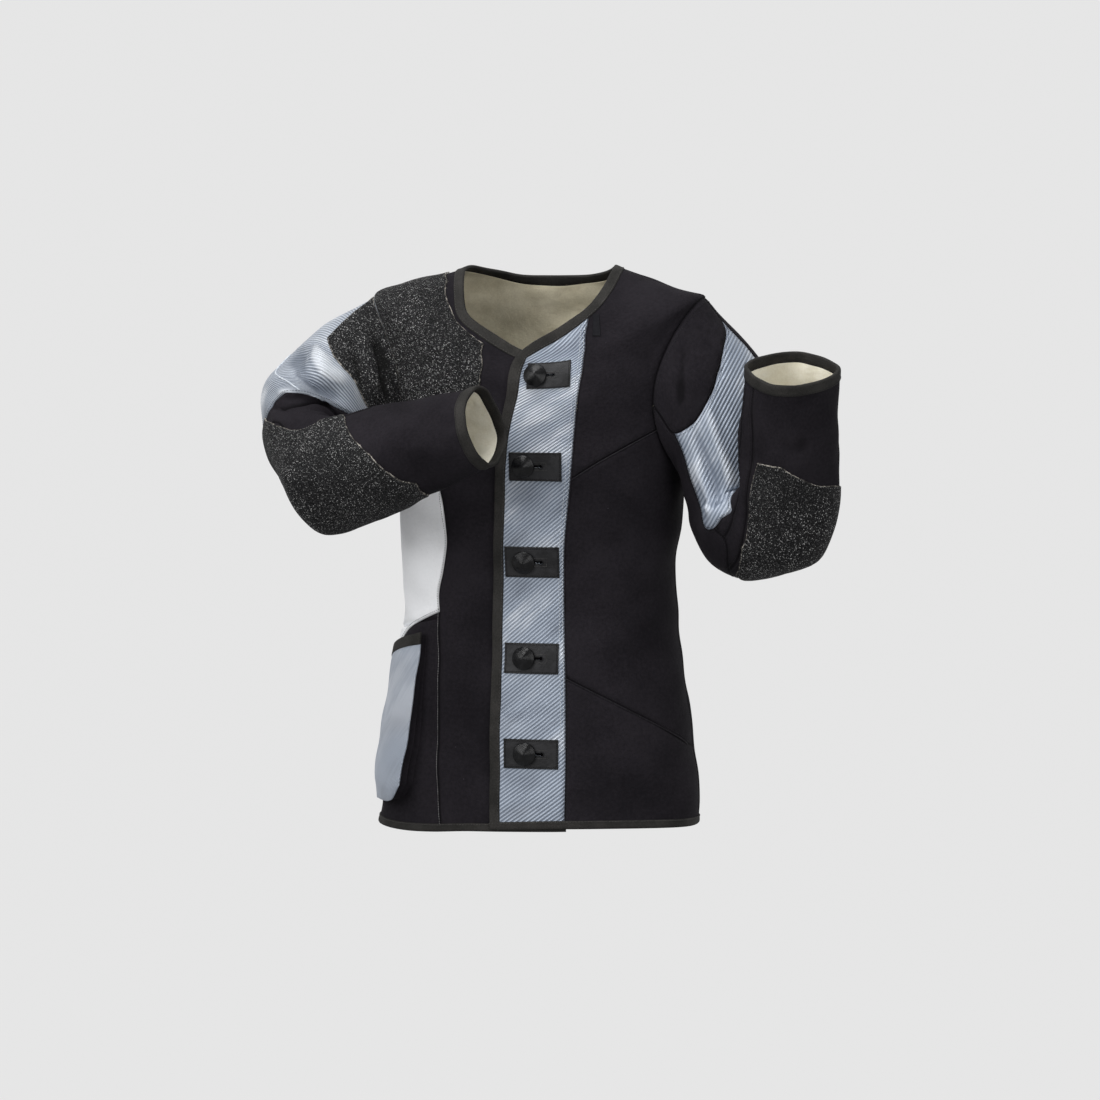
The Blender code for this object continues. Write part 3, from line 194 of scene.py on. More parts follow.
SLEEVE_PATCHES = {
    1: {
        "grip_elbow_left": [
            (-103.8, 0.3665), (-135, 0.368), (-160, 0.351), (-180, 0.338), (-210, 0.330), (-232, 0.320),
            (-236, 0.262), (-232, 0.218), (-180, 0.195), (-140, 0.211), (-114, 0.245), (-101.5, 0.278),
            (-98.5, 0.320), (-100, 0.343),
        ],
    },
    -1: {
        "grip_wing_right": [
            (103, 0.007), (94, 0.0355), (87, 0.082), (61, 0.1003), (45, 0.102), (32, 0.098), (14, 0.099),
            (-3, 0.092), (-8, 0.050), (-6, 0.007),
        ],
        "grip_elbow_right": [
            (130.5, 0.204), (116.5, 0.243), (108, 0.274), (103, 0.3025), (91, 0.349), (76, 0.385),
            (103, 0.400), (121, 0.412), (144, 0.431), (167, 0.4435), (182, 0.454), (193, 0.468),
            (228, 0.465), (240, 0.458), (252, 0.400), (254, 0.320), (238, 0.262), (185, 0.222),
            (150, 0.204),
        ],
    },
}


def curve(xs, ys, at):
    """Smooth curve through a table; a row of plain numbers is also held between its turning points."""
    xs, ys = np.asarray(xs, float), np.asarray(ys, float)
    h = np.diff(xs)
    tall = h.reshape((-1,) + (1,) * (ys.ndim - 1))
    d = np.diff(ys, axis=0) / tall
    m = np.empty_like(ys)
    m[0], m[-1] = d[0], d[-1]
    w = tall[1:] / (tall[1:] + tall[:-1])
    m[1:-1] = d[:-1] * w + d[1:] * (1 - w)
    if ys.ndim == 1:
        lim = np.where(d[:-1] * d[1:] > 0, 3 * np.minimum(np.abs(d[:-1]), np.abs(d[1:])), 0)
        m[1:-1] = np.clip(m[1:-1], -lim, lim)
    at = np.clip(np.asarray(at, float), xs[0], xs[-1])
    i = np.clip(np.searchsorted(xs, at, side="right") - 1, 0, len(xs) - 2)
    across = (-1,) if ys.ndim == 1 else (-1, 1)
    t, hh = ((at - xs[i]) / h[i]).reshape(across), h[i].reshape(across)
    own = (np.arange(len(at)),) if ys.ndim == 3 else ()
    y0, y1, m0, m1 = ys[(i, *own)], ys[(i + 1, *own)], m[(i, *own)], m[(i + 1, *own)]
    return ((2 * t**3 - 3 * t**2 + 1) * y0 + (t**3 - 2 * t**2 + t) * hh * m0
            + (3 * t**2 - 2 * t**3) * y1 + (t**3 - t**2) * hh * m1)


def unit(v):
    v = np.asarray(v, float)
    return v / (np.linalg.norm(v, axis=-1, keepdims=True) + 1e-15)


def smooth_step(a, b, x):
    t = np.clip((np.asarray(x, float) - a) / (b - a), 0, 1)
    return t * t * (3 - 2 * t)


def signed_power(x, e):
    return np.sign(x) * np.abs(x) ** e


def paired(a, b):
    return np.broadcast_arrays(np.atleast_1d(np.asarray(a, float)), np.atleast_1d(np.asarray(b, float)))


def superellipse(centre, p, w, c, s, pit, out, far, near):
    """Ring round a centre, with its own reach on each of four sides."""
    across, upward = np.where(c > 0, pit, out) * c, np.where(s > 0, far, near) * s
    return centre + p * across[:, None] + w * upward[:, None]


def ring_value(column, up):
    return curve([r[0] for r in RINGS], [r[column] for r in RINGS], up)


def body_point(angle, up):
    """Outer face of the body's cloth."""
    angle, up = paired(angle, up)
    t = np.radians(angle)
    zf, zs, zb, hw, fd, bd = (ring_value(k, up) for k in range(1, 7))
    s, c = np.sin(t), np.cos(t)
    e = 2 / ROUND
    x = hw * np.sign(s) * np.abs(s) ** e
    y = -np.where(c > 0, fd, bd) * np.sign(c) * np.abs(c) ** e
    z = zs + (np.where(c > 0, zf, zb) - zs) * c * c
    y = y + UNDERLAP * smooth_step(330, 346, angle)
    return np.stack([x, y, z], axis=-1)


def reaches(row, side):
    return SLEEVE_ROWS[row][3 if side > 0 else 4]


def arm_axes(side):
    s, e, c = (np.array(p) for p in ARM_POINTS[side])
    u1, u2 = unit(e - s), unit(c - e)
    w = unit(np.cross(u1, u2))
    w = -w if w[2] < 0 else w
    b = unit(unit(s - e) + u2)
    pit1, pit2 = unit(b - u1 * (b @ u1)), unit(b - u2 * (b @ u2))
    half = math.acos(float(np.clip(unit(s - e) @ u2, -1, 1))) / 2
    hinge = reaches(ELBOW_ROW, side)[0] + PIT_GAP
    foot = hinge / math.tan(half)
    turn = math.atan2(float(np.cross(pit1, pit2) @ w), float(pit1 @ pit2))
    return {"s": s, "c": c, "u1": u1, "u2": u2, "w": w, "pit": pit1, "turn": turn, "hinge": hinge,
            "h": e + b * hinge / math.sin(half),
            "l1": np.linalg.norm(e - s) - foot, "l2": np.linalg.norm(c - e) - foot}


def egg(side, t):
    """Armhole as angle and distance up; t goes round it."""
    c, s, e = np.cos(t), np.sin(t), 2 / ARMHOLE["egg"]
    c, s = signed_power(c, e), signed_power(s, e)
    off = np.where(c > 0, ARMHOLE["front"], ARMHOLE["back"]) * c
    mid, half = (ARMHOLE["top"] + ARMHOLE["bottom"]) / 2, (ARMHOLE["top"] - ARMHOLE["bottom"]) / 2
    return (90 - off if side > 0 else 270 + off), mid + half * s


def rounded(turn):
    c, s, e = np.cos(turn), np.sin(turn), 2 / ROUND
    return signed_power(c, e), signed_power(s, e)


def run_along(points):
    """Distance from a line's start at each of its points."""
    return np.concatenate([[0], np.cumsum(np.linalg.norm(np.diff(points, axis=0), axis=1))])


def shares(points):
    """Share of the way round a closed line at each of its points."""
    d = run_along(points)
    return d / d[-1]


def match_armhole(side):
    """Armhole parameter for each angle around the sleeve: equal shares of both lines, with least twist."""
    ax = AXES[side]
    t = np.linspace(0, 2 * np.pi, 721)
    c, s = rounded(t)
    ring = superellipse(ax["s"], ax["pit"], ax["w"], c, s, *reaches(UPPER_ROW, side))
    hole = body_point(*egg(side, t))
    on_ring, on_hole = shares(ring), shares(hole)
    best = None
    for way in (1, -1):
        for start in np.arange(0, 1, 0.005):
            place = (way * on_ring[::12] + start) % 1
            off = np.stack([np.interp(place, on_hole, hole[:, k]) for k in range(3)], axis=1) - ring[::12]
            miss = (off ** 2).sum()
            if best is None or miss < best[0]:
                best = (miss, way, start)
    place = best[1] * on_ring + best[2]
    return t, np.interp(place % 1, on_hole, t) + 2 * np.pi * np.floor(place)


def armhole_at(side, turn):
    """Armhole point that a sleeve meridian starts from, as angle and distance up."""
    t, hole = MATCH[side]
    return egg(side, np.interp(np.mod(turn, 2 * np.pi), t, hole))


def sleeve_rings(side, turn):
    """Ring points for each angle around a sleeve, and each ring's distance along."""
    ax = AXES[side]
    c, s = rounded(turn)
    first = body_point(*armhole_at(side, turn))
    rings, along = [first], [0.0]
    for row, (stretch, share, blend, _, _) in enumerate(SLEEVE_ROWS):
        q = {"upper": 0.0, "turn": ax["turn"] * share, "lower": ax["turn"]}[stretch]
        p = ax["pit"] * math.cos(q) + np.cross(ax["w"], ax["pit"]) * math.sin(q)
        if stretch == "upper":
            o, pos = ax["s"] + ax["u1"] * ax["l1"] * share, ax["l1"] * share
        elif stretch == "turn":
            o, pos = ax["h"] - p * ax["hinge"], ax["l1"] + 2 * ax["hinge"] * abs(q)
        else:
            o = ax["c"] - ax["u2"] * ax["l2"] * (1 - share)
            pos = ax["l1"] + 2 * ax["hinge"] * abs(q) + ax["l2"] * share
        ring = superellipse(o, p, ax["w"], c, s, *reaches(row, side))
        ring = ring * (1 - blend) + (first + ax["u1"] * ax["l1"] * share) * blend
        rings.append(ring)
        along.append(pos)
    return np.array(along), np.array(rings)


def sleeve_point(side, turn, along):
    """Outer face of a sleeve's cloth; turn in degrees."""
    turn, along = paired(turn, along)
    pos, rings = sleeve_rings(side, np.radians(turn))
    return curve(pos, rings, along)


AXES = {side: arm_axes(side) for side in (1, -1)}
MATCH = {side: match_armhole(side) for side in (1, -1)}
LENGTH = {side: float(sleeve_rings(side, np.zeros(1))[0][-1]) for side in (1, -1)}

# Distance around the chest for each angle, used to lay the body out flat
_deg = np.arange(-20, 390.5, 0.5)
_ring = body_point(_deg, np.full(len(_deg), 0.40))
_ring[:, 1] -= UNDERLAP * smooth_step(330, 346, _deg)
_arc = run_along(_ring)
_arc -= np.interp(0, _deg, _arc)


# Folds that show: side, half width, height (a dip is negative), places along the fold
FOLDS = [
    (-1, 0.0065, -0.0065, [(46, 0.013), (23, 0.0173), (4, 0.016)]),
    (-1, 0.0100, -0.0085, [(60, 0.022), (36.5, 0.0300), (20.6, 0.0400), (4, 0.050)]),
    (-1, 0.0090, 0.0060, [(70, 0.036), (41.8, 0.0520), (23.6, 0.0674), (8, 0.078)]),
    (-1, 0.0080, -0.0045, [(60, 0.066), (39.1, 0.0818), (19.6, 0.0944)]),
    (-1, 0.0095, 0.0050, [(97.7, 0.0919), (76.6, 0.1129), (53.4, 0.1224), (30, 0.1140)]),
    (-1, 0.0090, -0.0055, [(102, 0.1133), (75.7, 0.1428), (46.8, 0.1495), (24, 0.128)]),
    (-1, 0.0060, 0.0035, [(100, 0.180), (80, 0.205), (55, 0.205), (30, 0.165)]),
    (-1, 0.0060, -0.0045, [(112, 0.200), (91.5, 0.232), (69.2, 0.240), (45, 0.210), (24, 0.165)]),
    (-1, 0.0060, -0.0020, [(99.6, 0.489), (127.5, 0.491), (156, 0.484)]),
    (-1, 0.0045, -0.0022, [(118.5, 0.2146), (114.6, 0.2638), (124.3, 0.2953)]),
    (1, 0.0065, -0.0055, [(6, 0.010), (-8.3, 0.0152), (-24.9, 0.0247), (-43, 0.0361), (-60, 0.046)]),
    (1, 0.0100, -0.0045, [(-52, 0.066), (-62, 0.1123), (-60, 0.175), (-62, 0.210)]),
    (1, 0.0100, 0.0040, [(-72, 0.085), (-80, 0.130), (-80, 0.190)]),
    (1, 0.0100, 0.0040, [(-20, 0.055), (-36, 0.100), (-38, 0.150)]),
    (1, 0.0110, -0.0030, [(-128, 0.400), (-150, 0.385), (-175, 0.395)]),
]
# Over this distance a fold dies out at each end
FOLD_END = 0.020
# Swells of stiff cloth: waves round, waves along for each metre, height, offset
SWELLS = [
    (3, 9.0, 0.0011, 0.3), (5, -6.0, 0.0007, 1.9), (-4, 13.0, 0.0006, 4.1), (9, 21.0, 0.00025, 2.2),
    (-11, 17.0, 0.00025, 5.0),
]
# Size of a pattern's triangles, and spacing of the points along a seam
FINE, LINE = 0.0052, 0.0045


def fold_relief(side, flat):
    """Height of the folds over the base surface at flat places."""
    total = np.zeros(len(flat))
    for where, width, height, line in FOLDS:
        if where != side:
            continue
        pts = Surface(side).flat(line)
        best = np.full(len(flat), 9.0)
        place = np.zeros(len(flat))
        run = 0.0
        for a, b in zip(pts, pts[1:]):
            d = b - a
            size = float(np.linalg.norm(d))
            raw = (flat - a) @ d / size
            t = np.clip(raw / size, 0, 1)
            off = np.linalg.norm(flat - a - t[:, None] * d, axis=1)
            nearer = off < best
            best = np.where(nearer, off, best)
            place = np.where(nearer, run + np.clip(raw, 0, size), place)
            run += size
        end = np.clip(np.minimum(place, run - place) / FOLD_END, 0, 1)
        total += height * np.exp(-(best / width) ** 2) * (0.25 + 0.75 * end * end * (3 - 2 * end))
    return total


def clear_of_armholes(side, uv):
    """Rises from 0 at an armhole to 1 a little way off, so both cloths still meet there."""
    if side:
        return smooth_step(0.0, 0.014, uv[:, 1])
    mid, half = (ARMHOLE["top"] + ARMHOLE["bottom"]) / 2, (ARMHOLE["top"] - ARMHOLE["bottom"]) / 2
    near = np.ones(len(uv))
    power = ARMHOLE["egg"]
    for centre in (90.0, 270.0):
        wide = np.where(np.abs(uv[:, 0] - 180) > 90, ARMHOLE["front"], ARMHOLE["back"])
        r = (np.abs(uv[:, 0] - centre) / wide) ** power + (np.abs(uv[:, 1] - mid) / half) ** power
        near = np.minimum(near, smooth_step(1.0, 1.22, r ** (1 / power)))
    return near


def relief(side, uv):
    flat = Surface(side).flat(uv)
    around = 2 * np.pi * AROUND if side else np.ptp(np.interp([0, 360], _deg, _arc))
    total = fold_relief(side, flat)
    for waves, rate, height, start in SWELLS:
        turns = waves * flat[:, 0] / around + rate * flat[:, 1]
        total += height * np.sin(2 * np.pi * turns + start + side)
    return total * clear_of_armholes(side, uv)


class Surface:
    """One cloth surface: the body is side 0, the sleeves are sides 1 and -1."""

    def __init__(self, side=0):
        self.side = side
        self.top = RINGS[-1][0] if side == 0 else LENGTH[side]

    def flat(self, pts):
        pts = np.asarray(pts, float).reshape(-1, 2)
        x = np.interp(pts[:, 0], _deg, _arc) if self.side == 0 else np.radians(pts[:, 0]) * AROUND
        return np.stack([x, pts[:, 1]], axis=1)

    def unflat(self, xy):
        xy = np.asarray(xy, float).reshape(-1, 2)
        a = np.interp(xy[:, 0], _arc, _deg) if self.side == 0 else np.degrees(xy[:, 0] / AROUND)
        return np.stack([a, xy[:, 1]], axis=1)

    def plain(self, uv):
        if self.side == 0:
            return body_point(uv[:, 0], uv[:, 1])
        return sleeve_point(self.side, uv[:, 0], uv[:, 1])

    def slopes(self, uv, place):
        du, dv = np.array([0.4, 0]), np.array([0, 0.0012])
        uv = np.stack([uv[:, 0], np.clip(uv[:, 1], 0, self.top)], axis=1)
        lo, hi = uv - dv, uv + dv
        lo[:, 1], hi[:, 1] = np.clip(lo[:, 1], 0, self.top), np.clip(hi[:, 1], 0, self.top)
        along = (place(hi) - place(lo)) / (hi[:, 1] - lo[:, 1])[:, None]
        return (place(uv + du) - place(uv - du)) / 0.8, along

    def plain_normal(self, uv):
        return unit(np.cross(*self.slopes(uv, self.plain))) * OUTWARD[self.side]

    def point(self, uv):
        uv = np.asarray(uv, float)
        return self.plain(uv) + self.plain_normal(uv) * relief(self.side, uv)[:, None]

    def normal(self, uv):
        return unit(np.cross(*self.slopes(np.asarray(uv, float), self.point))) * OUTWARD[self.side]

    def step_in(self, line, distance):
        """Line moved over the surface, square to itself, to its left for a positive distance."""
        uv = np.asarray(line, float)
        p, (a, b), n = self.plain(uv), self.slopes(uv, self.plain), self.plain_normal(uv)
        d = unit(np.cross(n, np.gradient(p, axis=0))) * np.reshape(distance, (-1, 1))
        aa, ab, bb = (a * a).sum(1), (a * b).sum(1), (b * b).sum(1)
        da, db = (d * a).sum(1), (d * b).sum(1)
        det = aa * bb - ab * ab
        return uv + np.stack([(da * bb - db * ab) / det, (db * aa - da * ab) / det], axis=1)


OUTWARD = {0: 1.0, 1: 1.0, -1: 1.0}
SURFACES = {k: Surface(k) for k in (0, 1, -1)}
for k in (0, 1, -1):
    sample = np.array([[180.0, 0.2 if k == 0 else 0.9 * LENGTH[k]]])
    inside = np.array([[0, 0, -0.4]]) if k == 0 else (AXES[k]["c"] - AXES[k]["u2"] * 0.04)[None]
    if ((SURFACES[k].plain(sample) - inside) * SURFACES[k].plain_normal(sample)).sum() < 0:
        OUTWARD[k] = -1.0


def smooth_line(surface, pts, step=LINE, bend=True):
    """Table points kept, with points between them on a smooth curve, in flat places."""
    xy = surface.flat(pts)
    gap = np.linalg.norm(np.diff(xy, axis=0), axis=1)
    pos = np.concatenate([[0], np.cumsum(gap)])
    at = [0.0]
    for k in range(len(gap)):
        at += list(np.linspace(pos[k], pos[k + 1], max(1, math.ceil(gap[k] / step)) + 1)[1:])
    at = np.array(at)
    if bend and len(xy) > 2:
        return curve(pos, xy, at)
    return np.stack([np.interp(at, pos, xy[:, k]) for k in range(2)], axis=1)


def closed_line(surface, pts):
    """Straight-sided outline through table points, in flat places."""
    return smooth_line(surface, pts + pts[:1], bend=False)[:-1]


def in_polygon(pts, poly):
    x, y = pts[:, 0], pts[:, 1]
    inside = np.zeros(len(pts), bool)
    for (x0, y0), (x1, y1) in zip(poly, np.roll(poly, -1, axis=0)):
        hit = (y0 > y) != (y1 > y)
        with np.errstate(divide="ignore", invalid="ignore"):
            inside ^= hit & (x < (x1 - x0) * (y - y0) / (y1 - y0) + x0)
    return inside


def on_pattern(pts, outlines):
    """Points inside the first outline and outside the others."""
    keep = in_polygon(pts, outlines[0])
    for hole in outlines[1:]:
        keep &= ~in_polygon(pts, hole)
    return keep


def sorted_pair(a, b):
    return (a, b) if a < b else (b, a)


def tree_of(points):
    tree = KDTree(len(points))
    for k, p in enumerate(points):
        tree.insert((p[0], p[1], 0.0), k)
    tree.balance()
    return tree


def distances(tree, points):
    return np.array([tree.find((p[0], p[1], 0.0))[2] for p in points])


def dotted(lines, step):
    """Points close together along lines."""
    out = []
    for line in lines:
        for a, b in zip(line, line[1:]):
            n = max(2, int(np.linalg.norm(b - a) / step) + 1)
            out.append(a + (b - a) * np.linspace(0, 1, n)[:, None])
    return np.vstack(out)


class Shell:
    """Flat pattern of one surface, cut into small triangles along every seam and outline."""

    def __init__(self, side, outlines, seams, shapes, seeds, arm_points, wrap=None):
        self.surface, self.side, self.shapes = SURFACES[side], side, shapes
        verts, edges, kinds = [], [], []

        def add(line, kind, closed=False):
            start, n = len(verts), len(line)
            verts.extend(map(tuple, line))
            for k in range(n if closed else n - 1):
                edges.append((start + k, start + (k + 1) % n))
                kinds.append(kind)

        for line in outlines:
            add(line, "edge", closed=True)
        for line in seams:
            add(line, "seam")
        for line in shapes.values():
            add(line, "shape", closed=True)
        rings = [np.vstack([line, line[:1]]) for line in outlines + list(shapes.values())]
        lo, hi = outlines[0].min(axis=0), outlines[0].max(axis=0)
        gx, gy = np.meshgrid(*(np.arange(lo[k] + FINE / 2, hi[k], FINE) for k in (0, 1)))
        gx[1::2] += FINE / 2
        pts = np.stack([gx.ravel(), gy.ravel()], axis=1)
        pts = pts[on_pattern(pts, outlines)]
        pts = pts[distances(tree_of(dotted(rings + seams, 0.3 * FINE)), pts) > 0.48 * FINE]
        verts.extend(map(tuple, pts))
        out = delaunay_2d_cdt([Vector(v) for v in verts], edges, [], 0, 1e-6, True)
        xy = np.array([tuple(v) for v in out[0]])
        tris = np.array([f for f in out[2] if len(f) == 3])
        kind_of = {}
        for e, orig in zip(out[1], out[4]):
            names = {kinds[o] for o in orig if o < len(kinds)}
            if names:
                kind_of[sorted_pair(*e)] = names
        mid = xy[tris].mean(axis=1)
        keep = on_pattern(mid, outlines)
        tris, mid = tris[keep], mid[keep]
        remap = np.arange(len(xy))
        if wrap is not None:
            left = {round(v[1], 5): i for i, v in enumerate(xy) if abs(v[0] - wrap[0]) < 1e-5}
            for i, v in enumerate(xy):
                if abs(v[0] - wrap[1]) < 1e-5:
                    remap[i] = left[round(v[1], 5)]
        area = np.cross(xy[tris[:, 1]] - xy[tris[:, 0]], xy[tris[:, 2]] - xy[tris[:, 0]])
        tris[area < 0] = tris[area < 0][:, ::-1]
        self.xy, self.mid, self.kinds = xy, mid, {}
        for (i, j), names in kind_of.items():
            self.kinds.setdefault(sorted_pair(int(remap[i]), int(remap[j])), set()).update(names)
        self.raw, self.tris = tris, remap[tris]
        self.uv = self.surface.unflat(xy)
        self.p = self.surface.point(self.uv)
        self.n = self.surface.normal(self.uv)
        self.own = self.n.copy()
        self.arm = {}
        arm_tree = tree_of(list(arm_points))
        keys = list(arm_points)
        for i, v in enumerate(xy):
            _, at, off = arm_tree.find((v[0], v[1], 0.0))
            if off < 2e-6:
                j = int(remap[i])
                self.p[j], self.n[j], self.arm[j] = arm_points[keys[at]]
        corner = self.p[self.tris]
        facing = np.cross(corner[:, 1] - corner[:, 0], corner[:, 2] - corner[:, 0])
        if (facing * self.n[self.tris[:, 0]]).sum() < 0:
            self.tris, self.raw = self.tris[:, ::-1], self.raw[:, ::-1]
        seam_dots = dotted(seams + [np.vstack([hole, hole[:1]]) for hole in outlines], 0.0008)
        self.seam = distances(tree_of(seam_dots), xy)
        self.by_edge = {}
        for t, tri in enumerate(self.tris.tolist()):
            for a, b in zip(tri, tri[1:] + tri[:1]):
                self.by_edge.setdefault(sorted_pair(a, b), []).append(t)
        self.inside = {name: in_polygon(mid, line) for name, line in shapes.items()}
        self.names, self.label = list(seeds), np.full(len(self.tris), -1)
        for number, at in enumerate(seeds.values()):
            self.spread(number, int(np.argmin(np.linalg.norm(mid - self.surface.flat([at])[0], axis=1))))

    def spread(self, number, start):
        """Give a piece's number to every triangle that can be reached without crossing a seam."""
        stack = [start]
        self.label[start] = number
        while stack:
            tri = self.tris[stack.pop()].tolist()
            for a, b in zip(tri, tri[1:] + tri[:1]):
                key = sorted_pair(a, b)
                if "seam" in self.kinds.get(key, ()):
                    continue
                for other in self.by_edge[key]:
                    if self.label[other] < 0:
                        self.label[other] = number
                        stack.append(other)

    def pick(self, names=None, shapes=(), without=()):
        """Triangles of the named pieces that lie inside some shapes and outside others."""
        sel = np.ones(len(self.tris), bool)
        if names:
            sel &= np.isin(self.label, [self.names.index(n) for n in names])
        if shapes:
            sel &= np.any([self.inside[s] for s in shapes], axis=0)
        for s in without:
            sel &= ~self.inside[s]
        return np.nonzero(sel)[0]

    def border(self, chosen):
        """Directed border edges, and each border point's inward directions with the kind of edge."""
        tris = self.tris[chosen].tolist()
        there = {edge for tri in tris for edge in zip(tri, tri[1:] + tri[:1])}
        rim = [(a, b) for a, b in there if (b, a) not in there]
        into = {}
        for a, b in rim:
            inward = unit(np.cross(unit(self.own[a] + self.own[b]), self.p[b] - self.p[a]))
            key = sorted_pair(a, b)
            if len(self.by_edge[key]) == 1:
                kind = "arm" if a in self.arm and b in self.arm else "free"
            else:
                kind = "seam" if "seam" in self.kinds.get(key, ()) else "cut"
            for v in (a, b):
                into.setdefault(v, []).append((inward, kind))
        return rim, into

    def shift(self, into, move):
        """Move over the surface for each border point, from a distance for each kind of edge."""
        out = {}
        for v, items in into.items():
            extra = np.zeros(3)
            if any(k == "arm" for _, k in items):
                extra = self.arm[v] * move.get("arm", 0)
                items = [(d, k) for d, k in items if k != "arm"]
            if items:
                dirs = np.array([d for d, _ in items])
                want = np.array([move.get(k, 0.0) for _, k in items])
                m = np.linalg.lstsq(dirs, want, rcond=0.2)[0]
                m = m - self.own[v] * (m @ self.own[v])
                size, top = np.linalg.norm(m), 1.8 * max(1e-9, np.abs(want).max())
                extra = extra + m * (top / size if size > top else 1.0)
            out[v] = extra
        return out


class Value:
    """A shader value: arithmetic on it adds Math nodes."""

    def __init__(self, recipe, socket):
        self.recipe, self.socket = recipe, socket

    def __add__(self, other):
        return self.recipe.maths("ADD", self, other)

    def __sub__(self, other):
        return self.recipe.maths("SUBTRACT", self, other)

    def __rsub__(self, other):
        return self.recipe.maths("SUBTRACT", other, self)

    def __mul__(self, other):
        return self.recipe.maths("MULTIPLY", self, other)

    __radd__, __rmul__ = __add__, __mul__


class Recipe:
    """A material under construction; every texture reads the cloth's own cut, in metres."""

    def __init__(self, name, roughness=0.8, metallic=0.0, **fixed):
        self.material = bpy.data.materials.new(name)
        self.material.use_nodes = True
        self.tree = self.material.node_tree
        self.shader = self.tree.nodes["Principled BSDF"]
        self.shader.inputs["Metallic"].default_value = metallic
        self.shader.inputs["Roughness"].default_value = roughness
        for socket, value in fixed.items():
            self.shader.inputs[socket.replace("_", " ")].default_value = value

    def put(self, socket, value):
        if isinstance(value, Value):
            self.tree.links.new(value.socket, socket)
        elif value is not None:
            size = len(socket.default_value) if hasattr(socket.default_value, "__len__") else 0
            socket.default_value = (*value, 1.0)[:size] if size else value

    def node(self, kind, settings=None, inputs=None, output=0):
        node = self.tree.nodes.new(kind)
        for key, value in (settings or {}).items():
            setattr(node, key, value)
        for key, value in (inputs or {}).items():
            self.put(node.inputs[key], value)
        return Value(self, node.outputs[output])

    def maths(self, operation, a, b=None):
        return self.node("ShaderNodeMath", {"operation": operation}, {0: a, 1: b})

    def cut(self):
        """Across and up the cloth's flat pattern, in metres."""
        uv = self.node("ShaderNodeUVMap", {"uv_map": "cut"})
        split = self.node("ShaderNodeSeparateXYZ", inputs={0: uv})
        return uv, split, Value(self, split.socket.node.outputs[1])

    def place(self):
        return self.node("ShaderNodeTexCoord", output="Object")

    def measure(self, name):
        return self.node("ShaderNodeAttribute", {"attribute_name": name}, output="Fac")

    def cloud(self, where, scale, detail=2.0, rough=0.5):
        inputs = {"Vector": where, "Scale": scale, "Detail": detail, "Roughness": rough}
        return self.node("ShaderNodeTexNoise", inputs=inputs)

    def cells(self, where, scale, output="Distance"):
        return self.node("ShaderNodeTexVoronoi", inputs={"Vector": where, "Scale": scale}, output=output)

    def dot(self, where, direction):
        settings = {"operation": "DOT_PRODUCT"}
        return self.node("ShaderNodeVectorMath", settings, {0: where, 1: direction}, "Value")

    def colour_part(self, colour):
        return self.node("ShaderNodeSeparateColor", inputs={0: colour})

    def wave(self, value, pitch):
        return self.maths("SINE", value * (2 * math.pi / pitch))

    def step(self, value, low, high):
        settings = {"interpolation_type": "SMOOTHSTEP"}
        return self.node("ShaderNodeMapRange", settings, {0: value, 1: low, 2: high})

    def blend(self, share, a, b, mode="MIX"):
        node = self.tree.nodes.new("ShaderNodeMix")
        node.data_type, node.blend_type = "RGBA", mode
        self.put(node.inputs[0], share)
        self.put(node.inputs[6], a)
        self.put(node.inputs[7], b)
        return Value(self, node.outputs[2])

    def finish(self, colour, height=None, roughness=None):
        self.put(self.shader.inputs["Base Color"], colour)
        if roughness is not None:
            self.put(self.shader.inputs["Roughness"], roughness)
        if height is not None:
            bump = self.node("ShaderNodeBump", inputs={"Height": height, "Distance": 1.0, "Strength": 1.0})
            self.put(self.shader.inputs["Normal"], bump)
        return self.material


def seam_shade(r):
    """Valley along a seam and a slight gathered ripple beside it, as heights; canvas and twill also use the
    valley to paint shade into their colour.
    """
    seam = r.measure("seam")
    valley = 1 - r.step(seam, 0.0, 0.0020)
    beside = r.step(seam, 0.0015, 0.004) * (1 - r.step(seam, 0.005, 0.014))
    ripple = r.cloud(r.cut()[0], 130, 1.0) * beside
    return valley, ripple


def canvas(name, dark, light, weave_pitch=0.0012, grain=0.00004, gloss=0.10):
    r = Recipe(name, 0.9, Specular_IOR_Level=gloss)
    uv, u, v = r.cut()
    valley, ripple = seam_shade(r)
    # Broad random clouding of the cloth's tone, which also swells its bump.
    mottle = r.cloud(r.place(), 9, 5, 0.62)
    slub = r.cloud(uv, 900, 2, 0.7)
    fleck = r.cloud(uv, 240, 3, 0.7)
    weave = r.wave(u, weave_pitch) * r.wave(v, weave_pitch)
    tone = r.step(mottle * 0.5 + fleck * 0.3 + slub * 0.2, 0.36, 0.64)
    colour = r.blend(tone, dark, light)
    lint = r.step(r.cells(uv, 70), 0.055, 0.03) * r.step(r.cloud(uv, 33, 1), 0.56, 0.62)
    colour = r.blend(lint * 0.5, colour, tuple(min(1.0, c * 5) for c in light))
    # Painted shade: the colour darkens where the fold height dips into a valley.
    painted_fold_shade = r.step(r.measure("fold"), -0.0012, -0.0050)
    colour = r.blend(painted_fold_shade * 0.75, colour, tuple(c * 0.30 for c in dark))
    # Painted shade along the seam valleys.
    colour = r.blend(valley * 0.6, colour, tuple(c * 0.35 for c in dark))
    height = weave * grain + slub * (grain * 3) + fleck * 0.00012 + mottle * 0.0012
    return r.finish(colour, height - valley * 0.0004 + ripple * 0.0005)


